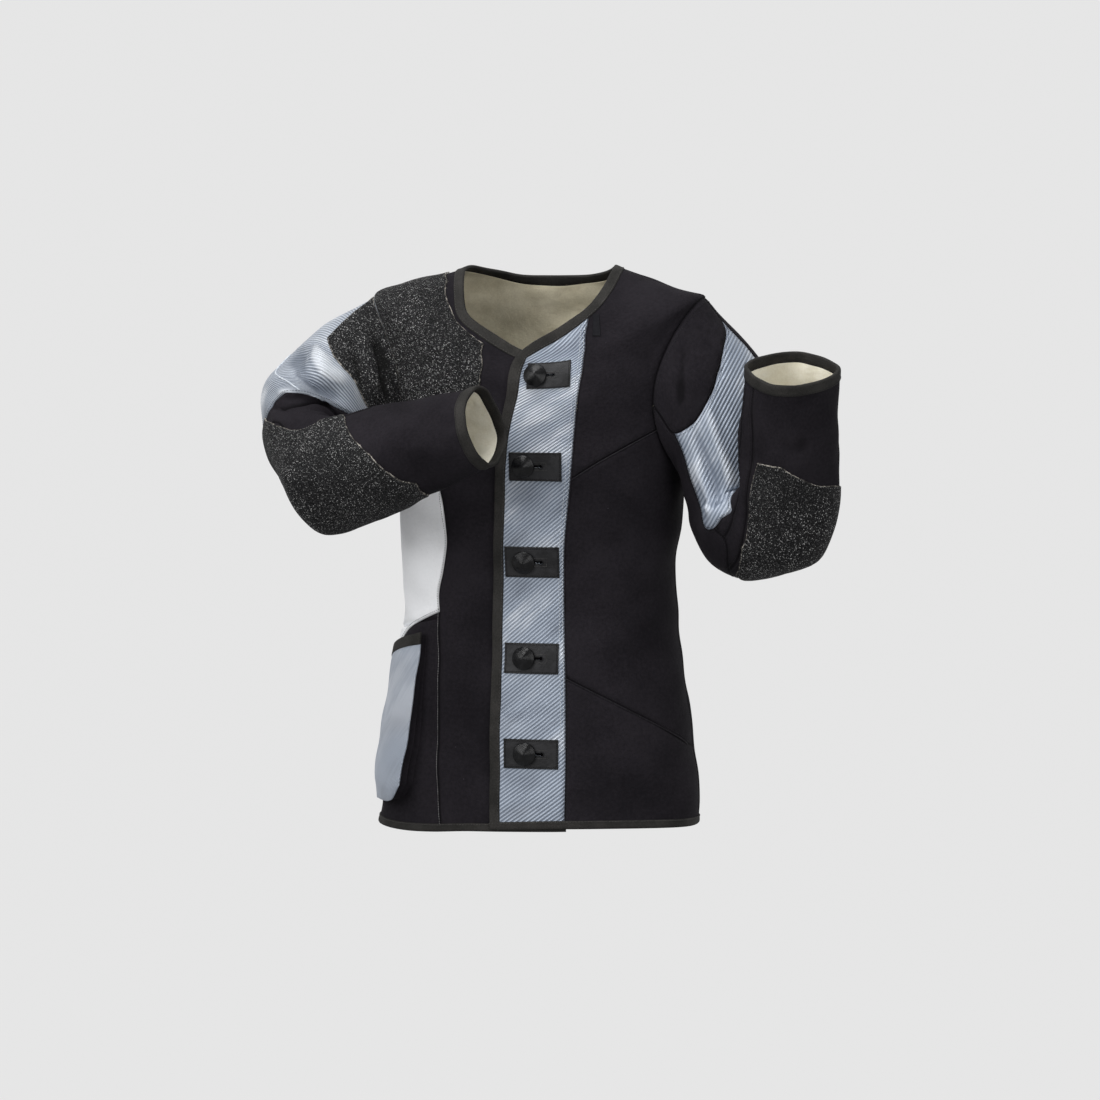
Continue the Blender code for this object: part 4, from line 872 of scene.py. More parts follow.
def satin(r, across, along, tones):
    """Painted light and shade: broad pale and deep bands that run with the ribs, standing in for light on a
    slack satin face.
    """
    deep, mid, pale = tones
    slack = r.node("ShaderNodeCombineXYZ", inputs={0: across * 17, 1: along * 7})
    broad = r.cloud(slack, 1.0, 3, 0.5)
    streak = r.node("ShaderNodeCombineXYZ", inputs={0: across * 420, 1: along * 24})
    yarn = r.cloud(streak, 1.0, 3, 0.6)
    tone = broad * 0.8 + yarn * 0.2
    lower = r.blend(r.step(tone, 0.30, 0.50), deep, mid)
    return r.blend(r.step(tone, 0.50, 0.66), lower, pale), yarn


# Silver's three tones: in painted shade, in its mid tone, and in painted highlight.
SILVER = ((0.150, 0.178, 0.230), (0.330, 0.380, 0.460), (0.66, 0.70, 0.76))


def twill(name, lean=0, pitch=0.0037, plane=None, gap=0.62, tones=SILVER):
    """Ribbed satin; its ribs lean by an angle from the cut's cross direction, or lie square to a plane."""
    r = Recipe(name, 0.42, 0.15, Specular_IOR_Level=0.45)
    uv, u, v = r.cut()
    if plane:
        place = r.place()
        across, along = (r.dot(place, direction) for direction in plane)
    else:
        a = math.radians(lean)
        across = v * math.cos(a) - u * math.sin(a)
        along = u * math.cos(a) + v * math.sin(a)
    valley, ripple = seam_shade(r)
    wander = r.cloud(uv, 20, 2) * 0.0014
    rib = r.wave(across + wander, pitch) * 0.5 + 0.5
    groove = 1 - r.step(rib, 0.02, 0.62)
    fine = r.wave(along, 0.0013) * r.step(rib, 0.3, 0.8)
    base, yarn = satin(r, across, along, tones)
    # Painted shade in the grooves between ribs and painted highlight on the rib crests.
    colour = r.blend(groove * gap, base, tones[0], "MULTIPLY")
    colour = r.blend(r.step(rib, 0.80, 1.0) * 0.25, colour, tones[2])
    fold = r.measure("fold")
    # Painted shade in fold valleys and painted highlight on fold ridges, from the fold height.
    colour = r.blend(r.step(fold, -0.0006, -0.0045) * 0.7, colour, tones[0])
    colour = r.blend(r.step(fold, 0.0010, 0.0045) * 0.5, colour, tones[2])
    # Painted shade along the seam valleys.
    colour = r.blend(valley * 0.5, colour, (0.10, 0.11, 0.14))
    height = rib * 0.0007 + fine * 0.00004 + yarn * 0.0002 - valley * 0.0004 + ripple * 0.0005
    return r.finish(colour, height, 0.30 + 0.24 * yarn)


def grip(name):
    """Rubber crumb pressed into cloth: dark pebbles of two sizes with bright broken points."""
    r = Recipe(name, 0.8, Specular_IOR_Level=0.2)
    uv, place = r.cut()[0], r.place()
    large, small = r.cells(uv, 1000), r.cells(uv, 800)
    crumb, grit = 1 - r.step(large, 0.12, 0.62), 1 - r.step(small, 0.22, 0.52)
    tint_large, tint_small = (r.colour_part(r.cells(uv, scale, "Color")) for scale in (1000, 800))
    mottle = r.step(r.cloud(place, 16, 3, 0.6), 0.30, 0.66)
    dark = r.blend(crumb * 0.6 + grit * 0.4, (0.003, 0.003, 0.0035), (0.040, 0.040, 0.042))
    grey = r.step(tint_large, 0.45, 1.0) * crumb
    colour = r.blend(grey * (0.30 + 0.5 * mottle), dark, (0.20, 0.20, 0.205))
    spark = r.step(tint_small, 0.70, 0.97) * grit * (0.45 + 0.55 * mottle)
    colour = r.blend(spark, colour, (0.80, 0.80, 0.79))
    # Painted shade: the colour darkens to near black in fold valleys.
    colour = r.blend(r.step(r.measure("fold"), -0.0008, -0.0050) * 0.85, colour, (0.003, 0.003, 0.003))
    rim = 1 - r.step(r.measure("rim"), 0.0002, 0.0009)
    frayed = rim * r.step(r.cloud(place, 420, 2, 0.6), 0.50, 0.60)
    colour = r.blend(frayed * 0.7, colour, (0.42, 0.39, 0.34))
    return r.finish(colour, crumb * 0.0008 + grit * 0.0004, 0.86 - 0.3 * grey)


def brushed(name, dark, light):
    r = Recipe(name, 0.95, Specular_IOR_Level=0.1, Sheen_Weight=0.15)
    uv = r.cut()[0]
    fluff = r.cloud(uv, 320, 4, 0.7)
    broad = r.cloud(r.place(), 26, 4, 0.6)
    colour = r.blend(r.step(fluff * 0.35 + broad * 0.65, 0.34, 0.66), dark, light)
    return r.finish(colour, fluff * 0.0003 + broad * 0.0035)


def tape_cloth(name, dark, light):
    r = Recipe(name, 0.82, Specular_IOR_Level=0.18)
    uv, u, v = r.cut()
    herring = r.wave(u + r.maths("ABSOLUTE", v) * 0.8, 0.0018)
    fleck = r.cloud(uv, 500, 3, 0.7)
    mottle = r.cloud(r.place(), 34, 3, 0.6)
    colour = r.blend(r.step(mottle * 0.5 + fleck * 0.5, 0.34, 0.66), dark, light)
    return r.finish(colour, herring * 0.00006 + fleck * 0.00018 + mottle * 0.0010)


def hide(name, dark, light):
    r = Recipe(name, 0.5, Specular_IOR_Level=0.3)
    place = r.place()
    pores = r.cells(place, 900)
    crease = r.cloud(place, 240, 4, 0.6)
    broad = r.cloud(place, 45, 3, 0.6)
    edge = 1 - r.step(r.measure("rim"), 0.0003, 0.0014)
    colour = r.blend(r.step(broad, 0.40, 0.62), dark, light)
    colour = r.blend(edge * 0.8, colour, (0.003, 0.003, 0.003))
    return r.finish(colour, pores * 0.00016 + crease * 0.0005 + broad * 0.0006, 0.36 + 0.3 * crease)


def horn(name):
    """Turned black plastic: fine rings cut on the lathe draw its shine out into wedges."""
    r = Recipe(name, 0.26, Specular_IOR_Level=0.30)
    rings = r.wave(r.measure("radius"), 0.00055)
    haze = r.cloud(r.place(), 160, 4, 0.6)
    colour = r.blend(r.step(haze, 0.4, 0.7), (0.003, 0.003, 0.0035), (0.009, 0.009, 0.010))
    return r.finish(colour, rings * 0.000022, 0.16 + 0.12 * haze)


def thread(name, dark, light, roughness=0.7, low=0.35, high=0.65):
    r = Recipe(name, roughness, Specular_IOR_Level=0.2)
    place = r.place()
    ply = r.cloud(place, 1500, 2, 0.5)
    mottle = r.cloud(place, 160, 2, 0.5)
    return r.finish(r.blend(r.step(ply * 0.4 + mottle * 0.6, low, high), dark, light), ply * 0.0001)


LEFT_RIBS = ((-0.874, -0.136, 0.467), (0.440, 0.188, 0.878))
# More tone triples from painted shade to painted highlight: deeper contrast for the right sleeve, softer
# for the pocket.
DEEP_SILVER = ((0.095, 0.115, 0.150), (0.36, 0.40, 0.465), (0.78, 0.81, 0.85))
PALE_SILVER = ((0.24, 0.27, 0.33), (0.40, 0.45, 0.53), (0.60, 0.64, 0.71))
LOOKS = {
    "black_canvas": canvas("black_canvas", (0.0078, 0.0068, 0.0088), (0.0185, 0.0162, 0.0200)),
    "grey_canvas": canvas("grey_canvas", (0.80, 0.81, 0.83), (0.89, 0.90, 0.92)),
    "twill_body": twill("twill_body", 40),
    "twill_left": twill("twill_left", plane=LEFT_RIBS, pitch=0.0042),
    "twill_right": twill("twill_right", 10, 0.0036, tones=DEEP_SILVER),
    "twill_pocket": twill("twill_pocket", 62, 0.0016, gap=0.12, tones=PALE_SILVER),
    "grip_cloth": grip("grip_cloth"),
    "tan_lining": brushed("tan_lining", (0.70, 0.63, 0.45), (0.90, 0.83, 0.63)),
    "cuff_lining": brushed("cuff_lining", (0.80, 0.75, 0.60), (0.94, 0.91, 0.79)),
    "binding_tape": tape_cloth("binding_tape", (0.014, 0.0135, 0.0125), (0.034, 0.032, 0.030)),
    "plate_leather": hide("plate_leather", (0.011, 0.011, 0.012), (0.022, 0.022, 0.024)),
    "button_plastic": horn("button_plastic"),
    "woven_tag": canvas("woven_tag", (0.008, 0.008, 0.010), (0.016, 0.016, 0.018), 0.0007),
    "thread_black": thread("thread_black", (0.004, 0.004, 0.005), (0.014, 0.014, 0.016)),
    "thread_dark": thread("thread_dark", (0.035, 0.033, 0.032), (0.085, 0.083, 0.080)),
    "thread_grey": thread("thread_grey", (0.10, 0.10, 0.10), (0.30, 0.30, 0.30)),
    "thread_silver": thread("thread_silver", (0.42, 0.46, 0.52), (0.66, 0.70, 0.74), 0.5),
    "piping_dark": thread("piping_dark", (0.008, 0.007, 0.009), (0.018, 0.016, 0.020), 0.7),
    "raw_edge": thread("raw_edge", (0.020, 0.019, 0.018), (0.48, 0.45, 0.40), 0.9, 0.48, 0.62),
}


def in_scene(name, data):
    thing = bpy.data.objects.new(name, data)
    bpy.context.scene.collection.objects.link(thing)
    return thing


def add_mesh(name, verts, faces, looks, cut=None, marks=None, look_of_face=None, sharp=42):
    """A mesh piece with its flat-pattern coordinates for each corner and its marks for each point."""
    mesh = bpy.data.meshes.new(name)
    mesh.from_pydata(np.asarray(verts, float).tolist(), [], faces)
    for look in looks:
        mesh.materials.append(LOOKS[look])
    if cut is not None:
        layer = mesh.uv_layers.new(name="cut")
        layer.data.foreach_set("uv", np.asarray(cut, np.float32).ravel())
    for key, values in (marks or {}).items():
        mark = mesh.attributes.new(key, "FLOAT", "POINT")
        mark.data.foreach_set("value", np.asarray(values, np.float32))
    if look_of_face is not None:
        mesh.polygons.foreach_set("material_index", np.asarray(look_of_face, np.int32))
    mesh.shade_smooth()
    if sharp:
        mesh.set_sharp_from_angle(angle=math.radians(sharp))
    mesh.update()
    return in_scene(name, mesh)


# Valley of the cloth along its seams
SEAM_DIP = {"depth": 0.0005, "reach": 0.0020}
# How far a cloth's edge stays back from each kind of border
EDGE_MOVES = {"seam": 0.0001, "arm": -0.0001, "cut": 0, "free": 0}


def smallest_rectangle(points):
    """Sides of the smallest rectangle round a flat pattern."""
    best = None
    for deg in range(0, 90, 3):
        a = math.radians(deg)
        turned = points @ np.array([[math.cos(a), -math.sin(a)], [math.sin(a), math.cos(a)]])
        size = turned.max(axis=0) - turned.min(axis=0)
        if best is None or size.prod() < best.prod():
            best = size
    return best


def sheet(shell, name, chosen, low, high, look, lift=None, bevel=0.0004, dip=True, edge_look=None):
    """A cloth wall between two heights over the surface, with softened outer edges."""
    rim, into = shell.border(chosen)
    plain = shell.shift(into, EDGE_MOVES)
    tucked = shell.shift(into, {kind: off + bevel for kind, off in EDGE_MOVES.items()})
    used = np.unique(shell.tris[chosen])
    m = len(used)
    new = np.full(len(shell.p), -1)
    new[used] = np.arange(m)
    n = shell.n[used]
    base = np.zeros(m) if lift is None else lift(shell.uv[used])
    sink = SEAM_DIP["depth"] * np.exp(-(shell.seam[used] / SEAM_DIP["reach"]) ** 2) * (1.0 if dip else 0.0)
    under, over = shell.p[used].copy(), shell.p[used].copy()
    for v, off in plain.items():
        under[new[v]] += off
    for v, off in tucked.items():
        over[new[v]] += off
    edge = np.array(sorted(into))
    edge_new = np.full(len(shell.p), -1)
    edge_new[edge] = np.arange(len(edge)) + 2 * m
    bottom = under + n * (low + base)[:, None]
    top = over + n * (high + base - sink)[:, None]
    shoulder = under[new[edge]] + n[new[edge]] * (high + base - sink - bevel)[new[edge]][:, None]
    verts = np.vstack([bottom, top, shoulder])
    outer = new[shell.tris[chosen]]
    faces = (outer + m).tolist() + outer[:, ::-1].tolist()
    cut = [shell.xy[shell.raw[chosen]].reshape(-1, 2), shell.xy[shell.raw[chosen][:, ::-1]].reshape(-1, 2)]
    sides = []
    for a, b in rim:
        la, lb, ea, eb = new[a], new[b], edge_new[a], edge_new[b]
        sides += [[int(la), int(lb), int(eb), int(ea)], [int(ea), int(eb), int(lb) + m, int(la) + m]]
        flat_a, flat_b = shell.xy[a], shell.xy[b]
        cut.append(np.array([flat_a, flat_b, flat_b, flat_a, flat_a, flat_b, flat_b, flat_a]))
    seam = shell.seam[used]
    border_dots = dotted([shell.xy[[a, b]] for a, b in rim], 0.0007)
    rim_off = distances(tree_of(border_dots), shell.xy[used])
    # The fold mark carries the relief height; the looks paint shade into its valleys and highlight onto its
    # ridges.
    marks = {"seam": seam, "rim": rim_off, "fold": relief(shell.side, shell.uv[used])}
    marks = {key: np.concatenate([mark, mark, mark[new[edge]]]) for key, mark in marks.items()}
    looks = [look] + ([edge_look] if edge_look else [])
    look_of_face = [0] * len(faces) + [1 if edge_look else 0] * len(sides)
    thing = add_mesh(name, verts, faces + sides, looks, np.vstack(cut), marks, look_of_face)
    flat, solid = shell.xy[shell.raw[chosen]], shell.p[shell.tris[chosen]]
    flat_area = np.abs(np.cross(flat[:, 1] - flat[:, 0], flat[:, 2] - flat[:, 0])).sum() / 2
    area = np.linalg.norm(np.cross(solid[:, 1] - solid[:, 0], solid[:, 2] - solid[:, 0]), axis=1).sum() / 2
    width, length = smallest_rectangle(flat.reshape(-1, 2)) * math.sqrt(area / flat_area)
    return thing


# A tape's width laid flat, and its outer face over the cloth
TAPE_CUT, TAPE_FACE = 0.0285, 0.0013


def tape_profile(width):
    """Section of a tape folded round an edge: distance in from the edge, height over the cloth's face."""
    w, back = width, -CANVAS
    outer = [
        (w, 0.0001), (w - 0.0003, 0.0008), (w - 0.0013, 0.00125), (w * 0.66, 0.0011), (w * 0.36, 0.00135),
        (0.0012, 0.0014), (0.0002, 0.0011), (-0.0007, 0.0004), (-0.0011, -0.0009),
    ]
    inner = [
        (-0.0008, back - 0.0006), (0.0000, back - 0.0011), (0.0012, back - 0.00135),
        (w * 0.5, back - 0.0012), (w - 0.001, back - 0.0012), (w, back - 0.0003),
    ]
    lining = [
        (w - 0.0006, back - 0.00015), (0.0006, back - 0.00015), (-0.0002, back + 0.0003),
        (-0.0002, -0.0003), (0.0006, 0.00005),
    ]
    return outer + inner + lining


def tube_faces(count, m, closed=False):
    """Quads between rings of m points each."""
    rings = [(i, (i + 1) % count) for i in range(count if closed else count - 1)]
    turns = [(j, (j + 1) % m) for j in range(m)]
    return [[i * m + j, i * m + q, k * m + q, k * m + j] for i, k in rings for j, q in turns]


def sweep(name, surface, line, section, look, move, closed=False):
    """A section carried along a line of the cloth; move(line, distance) steps over the cloth."""
    rings = []
    away = surface.point(line)
    face = surface.normal(line)
    side = unit(surface.point(move(line, 0.002)) - away)
    side = unit(side - face * (side * face).sum(axis=1)[:, None])
    for off, height in section:
        if off > 0:
            at = move(line, off)
            rings.append(surface.point(at) + surface.normal(at) * height)
        else:
            rings.append(away + side * off + face * height)
    verts = np.stack(rings, axis=1)
    count, m = verts.shape[:2]
    run = run_along(away)
    sides = [math.dist(a, b) for a, b in zip(section, section[1:] + section[:1])]
    span = np.concatenate([[0], np.cumsum(sides)])
    handed = np.sign((np.cross(face, side) * np.gradient(away, axis=0)).sum())
    way = -1 if handed > 0 else 1
    faces = [quad[::way] for quad in tube_faces(count, m, closed)]
    ends = np.append(run, run[-1] + run[1])
    cut = []
    for start, end in zip(ends, ends[1:] if closed else run[1:]):
        for low, high in zip(span, span[1:]):
            cut += [(start, low), (start, high), (end, high), (end, low)][::way]
    if not closed:
        caps = [list(range(m)), [(count - 1) * m + j for j in range(m)][::-1]]
        for ring, at in zip(caps if handed > 0 else [r[::-1] for r in caps], (0, count - 1)):
            faces.append(ring)
            cut += [(run[at], 0.0)] * m
    return add_mesh(name, verts.reshape(-1, 3), faces, [look], cut, sharp=None), run[-1]


def over_body(surface, left):
    return lambda line, distance: surface.step_in(line, distance if left else -distance)


def cord(name, surface, line, radius, height, look):
    """Thin round piping laid along a seam."""
    turns = [2 * math.pi * k / 8 for k in range(8)]
    circle = [(radius * math.cos(a) - 1.01 * radius, height + radius * math.sin(a)) for a in turns]
    dress(sweep(name, surface, line, circle, look, over_body(surface, True))[0], look)


def stitch_tree():
    """Geometry Nodes: small spindles of thread at an even pitch along every line."""
    tree = bpy.data.node_groups.new("stitches", "GeometryNodeTree")
    face = tree.interface
    face.new_socket("Lines", in_out="INPUT", socket_type="NodeSocketGeometry")
    for label in ("Pitch", "Length", "Thickness"):
        face.new_socket(label, in_out="INPUT", socket_type="NodeSocketFloat")
    face.new_socket("Thread", in_out="INPUT", socket_type="NodeSocketMaterial")
    face.new_socket("Stitches", in_out="OUTPUT", socket_type="NodeSocketGeometry")
    kinds = {
        "source": "NodeGroupInput", "sink": "NodeGroupOutput", "curve": "GeometryNodeMeshToCurve",
        "spaced": "GeometryNodeCurveToPoints", "spindle": "GeometryNodeMeshUVSphere",
        "place": "GeometryNodeInstanceOnPoints", "size": "ShaderNodeCombineXYZ",
        "real": "GeometryNodeRealizeInstances", "paint": "GeometryNodeSetMaterial",
    }
    node = {name: tree.nodes.new(kind) for name, kind in kinds.items()}
    node["spaced"].mode = "LENGTH"
    for label, value in (("Segments", 6), ("Rings", 4), ("Radius", 0.5)):
        node["spindle"].inputs[label].default_value = value
    for maker, output, taker, socket in (
        ("source", "Lines", "curve", 0), ("curve", 0, "spaced", "Curve"),
        ("source", "Pitch", "spaced", "Length"), ("source", "Thickness", "size", 0),
        ("source", "Thickness", "size", 1), ("source", "Length", "size", 2),
        ("spaced", "Points", "place", "Points"), ("spaced", "Rotation", "place", "Rotation"),
        ("spindle", "Mesh", "place", "Instance"), ("size", 0, "place", "Scale"),
        ("place", 0, "real", 0), ("real", 0, "paint", "Geometry"),
        ("source", "Thread", "paint", "Material"), ("paint", 0, "sink", 0),
    ):
        tree.links.new(node[maker].outputs[output], node[taker].inputs[socket])
    return tree


STITCHES = stitch_tree()


def sew(name, lines, look, pitch=0.0034, length=0.0027, thickness=0.0007):
    """Rows of stitches along lines of points."""
    verts, edges = [], []
    for line in lines:
        start = len(verts)
        verts += [tuple(p) for p in line]
        edges += [(start + k, start + k + 1) for k in range(len(line) - 1)]
    mesh = bpy.data.meshes.new(name + "_lines")
    mesh.from_pydata(verts, edges, [])
    thing = in_scene(name, mesh)
    modifier = thing.modifiers.new("stitches", "NODES")
    modifier.node_group = STITCHES
    values = {"Pitch": pitch, "Length": length, "Thickness": thickness, "Thread": LOOKS[look]}
    for item in STITCHES.interface.items_tree:
        if item.in_out == "INPUT" and item.name in values:
            modifier[item.identifier] = values[item.name]
    made = bpy.data.meshes.new_from_object(thing.evaluated_get(bpy.context.evaluated_depsgraph_get()))
    thing.modifiers.remove(modifier)
    thing.data = made
    made.shade_smooth()
    dress(thing, look)


def on_cloth(surface, line, height):
    """Points over the cloth along a line given in angle and distance."""
    return surface.point(line) + surface.normal(line) * height


def beside(surface, line, distance, height):
    return on_cloth(surface, surface.step_in(line, distance), height)


def frays(name, outlines, seed, look, spacing=0.0017, longest=0.0030):
    """Short broken threads that stand out from cut edges; outlines are (points, outward, up)."""
    rng = np.random.default_rng(seed)
    base, out, up, along = [], [], [], []
    for points, outward, normal in outlines:
        run = run_along(points)
        shake = rng.uniform(-0.4, 0.4, int(math.ceil(run[-1] / spacing))) * spacing
        at = np.clip(np.arange(0, run[-1], spacing) + shake, 0, run[-1])
        pick = [np.stack([np.interp(at, run, v[:, k]) for k in range(3)], axis=1)
                for v in (points, outward, normal)]
        base.append(pick[0])
        out.append(unit(pick[1]))
        up.append(unit(pick[2]))
        along.append(unit(np.cross(pick[1], pick[2])))
    base, out, up, along = (np.vstack(x) for x in (base, out, up, along))
    count = len(base)
    lean = rng.normal(0, 0.9, count)[:, None]
    outward = out * rng.uniform(0.25, 1.0, count)[:, None]
    way = unit(outward + along * lean + up * rng.uniform(-0.25, 0.35, count)[:, None])
    size = longest * rng.beta(1.6, 4.0, count)[:, None] + 0.0004
    bend = along * rng.normal(0, 0.5, count)[:, None] + up * rng.normal(-0.1, 0.3, count)[:, None]
    rings, sides = 4, 3
    a = unit(np.cross(way, up))
    b = np.cross(way, a)
    verts = []
    for k in range(rings):
        t = k / (rings - 1)
        centre = base - out * 0.0004 + way * size * t + bend * size * t * t
        thick = 0.00016 * (1 - 0.7 * t)
        for j in range(sides):
            ang = 2 * math.pi * j / sides
            verts.append(centre + (a * math.cos(ang) + b * math.sin(ang)) * thick)
    verts = np.stack(verts, axis=1)
    caps = [[2, 1, 0], [(rings - 1) * sides + j for j in range(sides)]]
    offsets = (np.arange(count) * rings * sides)[:, None, None]
    quads = (np.array(tube_faces(rings, sides))[None] + offsets).reshape(-1, 4).tolist()
    ends = (np.array(caps)[None] + offsets).reshape(-1, 3).tolist()
    return add_mesh(name, verts.reshape(-1, 3), quads + ends, [look], sharp=None)


def turned(name, centre, axis, profile, steps, look):
    """A turned solid, with each point's distance from its axis."""
    z = unit(axis)
    x = unit(np.cross(z, [0, 0, 1.0]))
    y = np.cross(z, x)
    verts, rings, radius = [], [], []
    for r, h in profile:
        count = 1 if r == 0 else steps
        rings.append(list(range(len(verts), len(verts) + count)))
        radius += [r] * count
        for k in range(count):
            a = 2 * math.pi * k / steps
            verts.append(centre + z * h + (x * math.cos(a) + y * math.sin(a)) * r)
    faces = []
    for r0, r1 in zip(rings, rings[1:]):
        for k in range(steps):
            j = (k + 1) % steps
            if len(r0) == 1:
                faces.append([r0[0], r1[j], r1[k]])
            elif len(r1) == 1:
                faces.append([r0[k], r0[j], r1[0]])
            else:
                faces.append([r0[k], r0[j], r1[j], r1[k]])
    return add_mesh(name, verts, faces, [look], marks={"radius": radius}, sharp=50)


# Points round each armhole seam
HOLE_STEPS = 144


def angle_at_x(x, up):
    half = ring_value(4, np.atleast_1d(up))[0]
    return math.degrees(math.asin((abs(x) / half) ** (ROUND / 2))) * (1 if x > 0 else -1)


def box_at(x0, x1, low, high):
    """Corners of an upright box on the front, as angles and distances up."""
    return [(angle_at_x(x, up), up) for x, up in ((x0, low), (x1, low), (x1, high), (x0, high))]


def armhole_frames(side):
    """Shared points of the armhole seam: flat places on both shells, position and mitred normal."""
    turns = CUT[side] + np.arange(HOLE_STEPS) * 360.0 / HOLE_STEPS
    body_uv = np.stack(armhole_at(side, np.radians(turns)), axis=1)
    sleeve_uv = np.stack([turns, np.zeros(HOLE_STEPS)], axis=1)
    p = SURFACES[0].point(body_uv)
    nb, ns = SURFACES[0].normal(body_uv), SURFACES[side].normal(sleeve_uv)
    m = unit(nb + ns)
    along = unit(np.roll(p, -1, axis=0) - np.roll(p, 1, axis=0))
    g = unit(np.cross(m, along))
    g = g * np.sign((g * (ns - nb)).sum(axis=1))[:, None]
    m = m / np.clip((m * nb).sum(axis=1), 0.45, 1)[:, None]
    return turns, body_uv, sleeve_uv, p, m, g


def snapped(line, points, reach):
    """Line whose ends are moved to the nearest armhole point when they are near one."""
    line = np.array(line)
    for end in (0, -1):
        d = np.linalg.norm(points - line[end], axis=1)
        if d.min() < reach:
            line[end] = points[int(np.argmin(d))]
    return line


def ragged(line, seed, size=0.0003):
    """Cut edge of crumbly cloth, a little uneven."""
    rng = np.random.default_rng(seed)
    rough = rng.normal(0, 1, line.shape)
    rough = (rough + np.roll(rough, 1, axis=0) + np.roll(rough, -1, axis=0)) / 3
    return line + rough * size


def keyhole(surface, up, xb):
    """Buttonhole: a narrow slot with a round eye at its outer end."""
    turns = np.radians(range(-150, 151, 30))
    eye = [(xb + EYE_AHEAD + EYE * math.cos(a), up + EYE * math.sin(a)) for a in turns]
    rim = [(xb - SLOT_BACK, up - SLOT_HALF)] + eye + [(xb - SLOT_BACK, up + SLOT_HALF)]
    return surface.flat([(angle_at_x(x, up), u) for x, u in rim])


def build_body():
    surf = SURFACES[0]
    frames = {side: armhole_frames(side) for side in (1, -1)}
    holes = [surf.flat(frames[side][1]) for side in (1, -1)]
    arm_points = {}
    for side, hole in zip((1, -1), holes):
        for key, pos, nrm, across in zip(hole, *frames[side][3:]):
            arm_points[tuple(key)] = (pos, nrm, across)
    every = np.vstack(holes)
    outline = np.vstack([smooth_line(surf, line)[:-1] for line in (NECK, RIGHT_EDGE, HEM, FRONT_EDGE)])
    seams = [snapped(smooth_line(surf, line), every, 0.02) for line in SEAMS.values()]
    shapes = {}
    neck = surf.unflat(smooth_line(surf, NECK))
    inner = surf.step_in(neck, -0.012)
    shapes["neck_strip"] = np.vstack([surf.flat(inner), surf.flat(neck + (neck - inner) * 0.5)[::-1]])
    shapes["shoulder_patch"] = ragged(closed_line(surf, SHOULDER_PATCH), 1)
    shapes["tag"] = surf.flat(TAG)
    runs = ((POCKET[:4], False), (POCKET[3:8], True), (POCKET[7:] + POCKET[:1], False))
    shapes["pocket"] = np.vstack([smooth_line(surf, run, 0.006, bend)[:-1] for run, bend in runs])
    above = surf.flat([(330, 0.26), (270, 0.235)])
    shapes["pocket_band"] = np.vstack([smooth_line(surf, POCKET_BAND, bend=False), above])
    shapes["lining"] = closed_line(surf, BACK_LINING)
    for k, (x0, x1, u0, u1, xb) in enumerate(PLATES, 1):
        shapes["plate_%d" % k] = closed_line(surf, box_at(x0, x1, u0, u1))
        shapes["slot_%d" % k] = keyhole(surf, (u0 + u1) / 2, xb)
    for word, hole in zip(("left", "right"), holes):
        t = unit(np.roll(hole, -1, axis=0) - np.roll(hole, 1, axis=0))
        out = np.stack([t[:, 1], -t[:, 0]], axis=1) * 0.0025
        out *= np.sign((out * (hole - hole.mean(axis=0))).sum())
        shapes["arm_margin_" + word] = (hole + out)[::2]
    return Shell(0, [outline] + holes, seams, shapes, BODY_SEEDS, arm_points)


def build_sleeve(side):
    surf = SURFACES[side]
    turns, _, sleeve_uv, p, m, g = armhole_frames(side)
    lo, hi, length = CUT[side], CUT[side] + 360, LENGTH[side]
    start, end = surf.flat(sleeve_uv), surf.flat([(hi, 0.0)])
    rows = round(length / FINE)
    up_side = [(hi, length * k / rows) for k in range(1, rows)]
    cuff = [(hi - 360 * k / 72, length) for k in range(73)]
    down_side = [(lo, length * k / rows) for k in range(rows - 1, 0, -1)]
    outline = np.vstack([start, end, surf.flat(up_side), surf.flat(cuff), surf.flat(down_side)])
    arm_points = {tuple(k): (pos, nrm, -across) for k, pos, nrm, across in zip(start, p, m, g)}
    arm_points[tuple(end[0])] = (p[0], m[0], -g[0])
    seams = []
    for line in SLEEVE_SEAMS[side].values():
        line = [(min(max(u, lo), hi), v) for u, v in line]
        line = [(u, v) if v < 0.48 or side < 0 else (u, length) for u, v in line]
        flat = smooth_line(surf, line)
        keep = snapped(flat, start, 0.014)
        for k in (0, -1):
            if min(abs(flat[k, 0] - surf.flat([(edge, 0)])[0, 0]) for edge in (lo, hi)) < 1e-6:
                keep[k] = (flat[k, 0], length * round(flat[k, 1] / length * rows) / rows)
        seams.append(keep)
    shapes = {}
    for name, line in SLEEVE_PATCHES[side].items():
        line = [(u, 0.0025 if v < 0.01 else v) for u, v in line]
        shapes[name] = ragged(closed_line(surf, line), 7 + side)
    for name, back in (("cuff_strip", 0.012), ("lining_strip", 0.150)):
        ring = [(lo + 5 * k, length - back) for k in range(73)]
        shapes[name] = surf.flat(ring + [(hi, length + 0.01), (lo, length + 0.01)])
    wrap = (surf.flat([(lo, 0)])[0, 0], surf.flat([(hi, 0)])[0, 0])
    prefix = "sleeve_left_" if side > 0 else "sleeve_right_"
    seeds = {prefix + k: v for k, v in SLEEVE_SEEDS[side].items()}
    return Shell(side, [outline], seams, shapes, seeds, arm_points, wrap=wrap)


WALL_LOOK = {
    "placket": "twill_body", "sleeve_left_silver": "twill_left", "sleeve_right_silver": "twill_right",
    "side_right_upper": "grey_canvas",
}


def dress(piece, look, *nodes):
    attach(piece, "root")
    if nodes:
        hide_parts(*nodes)
    return piece


def cloth(shell, name, chosen, low, high, look, nodes, **more):
    return dress(sheet(shell, name, chosen, low, high, look, **more), look, *nodes)


def tape(name, surface, line, width, move, nodes, closed=False):
    piece, run = sweep(name, surface, line, tape_profile(width), "binding_tape", move, closed)
    return dress(piece, "binding_tape", *nodes)


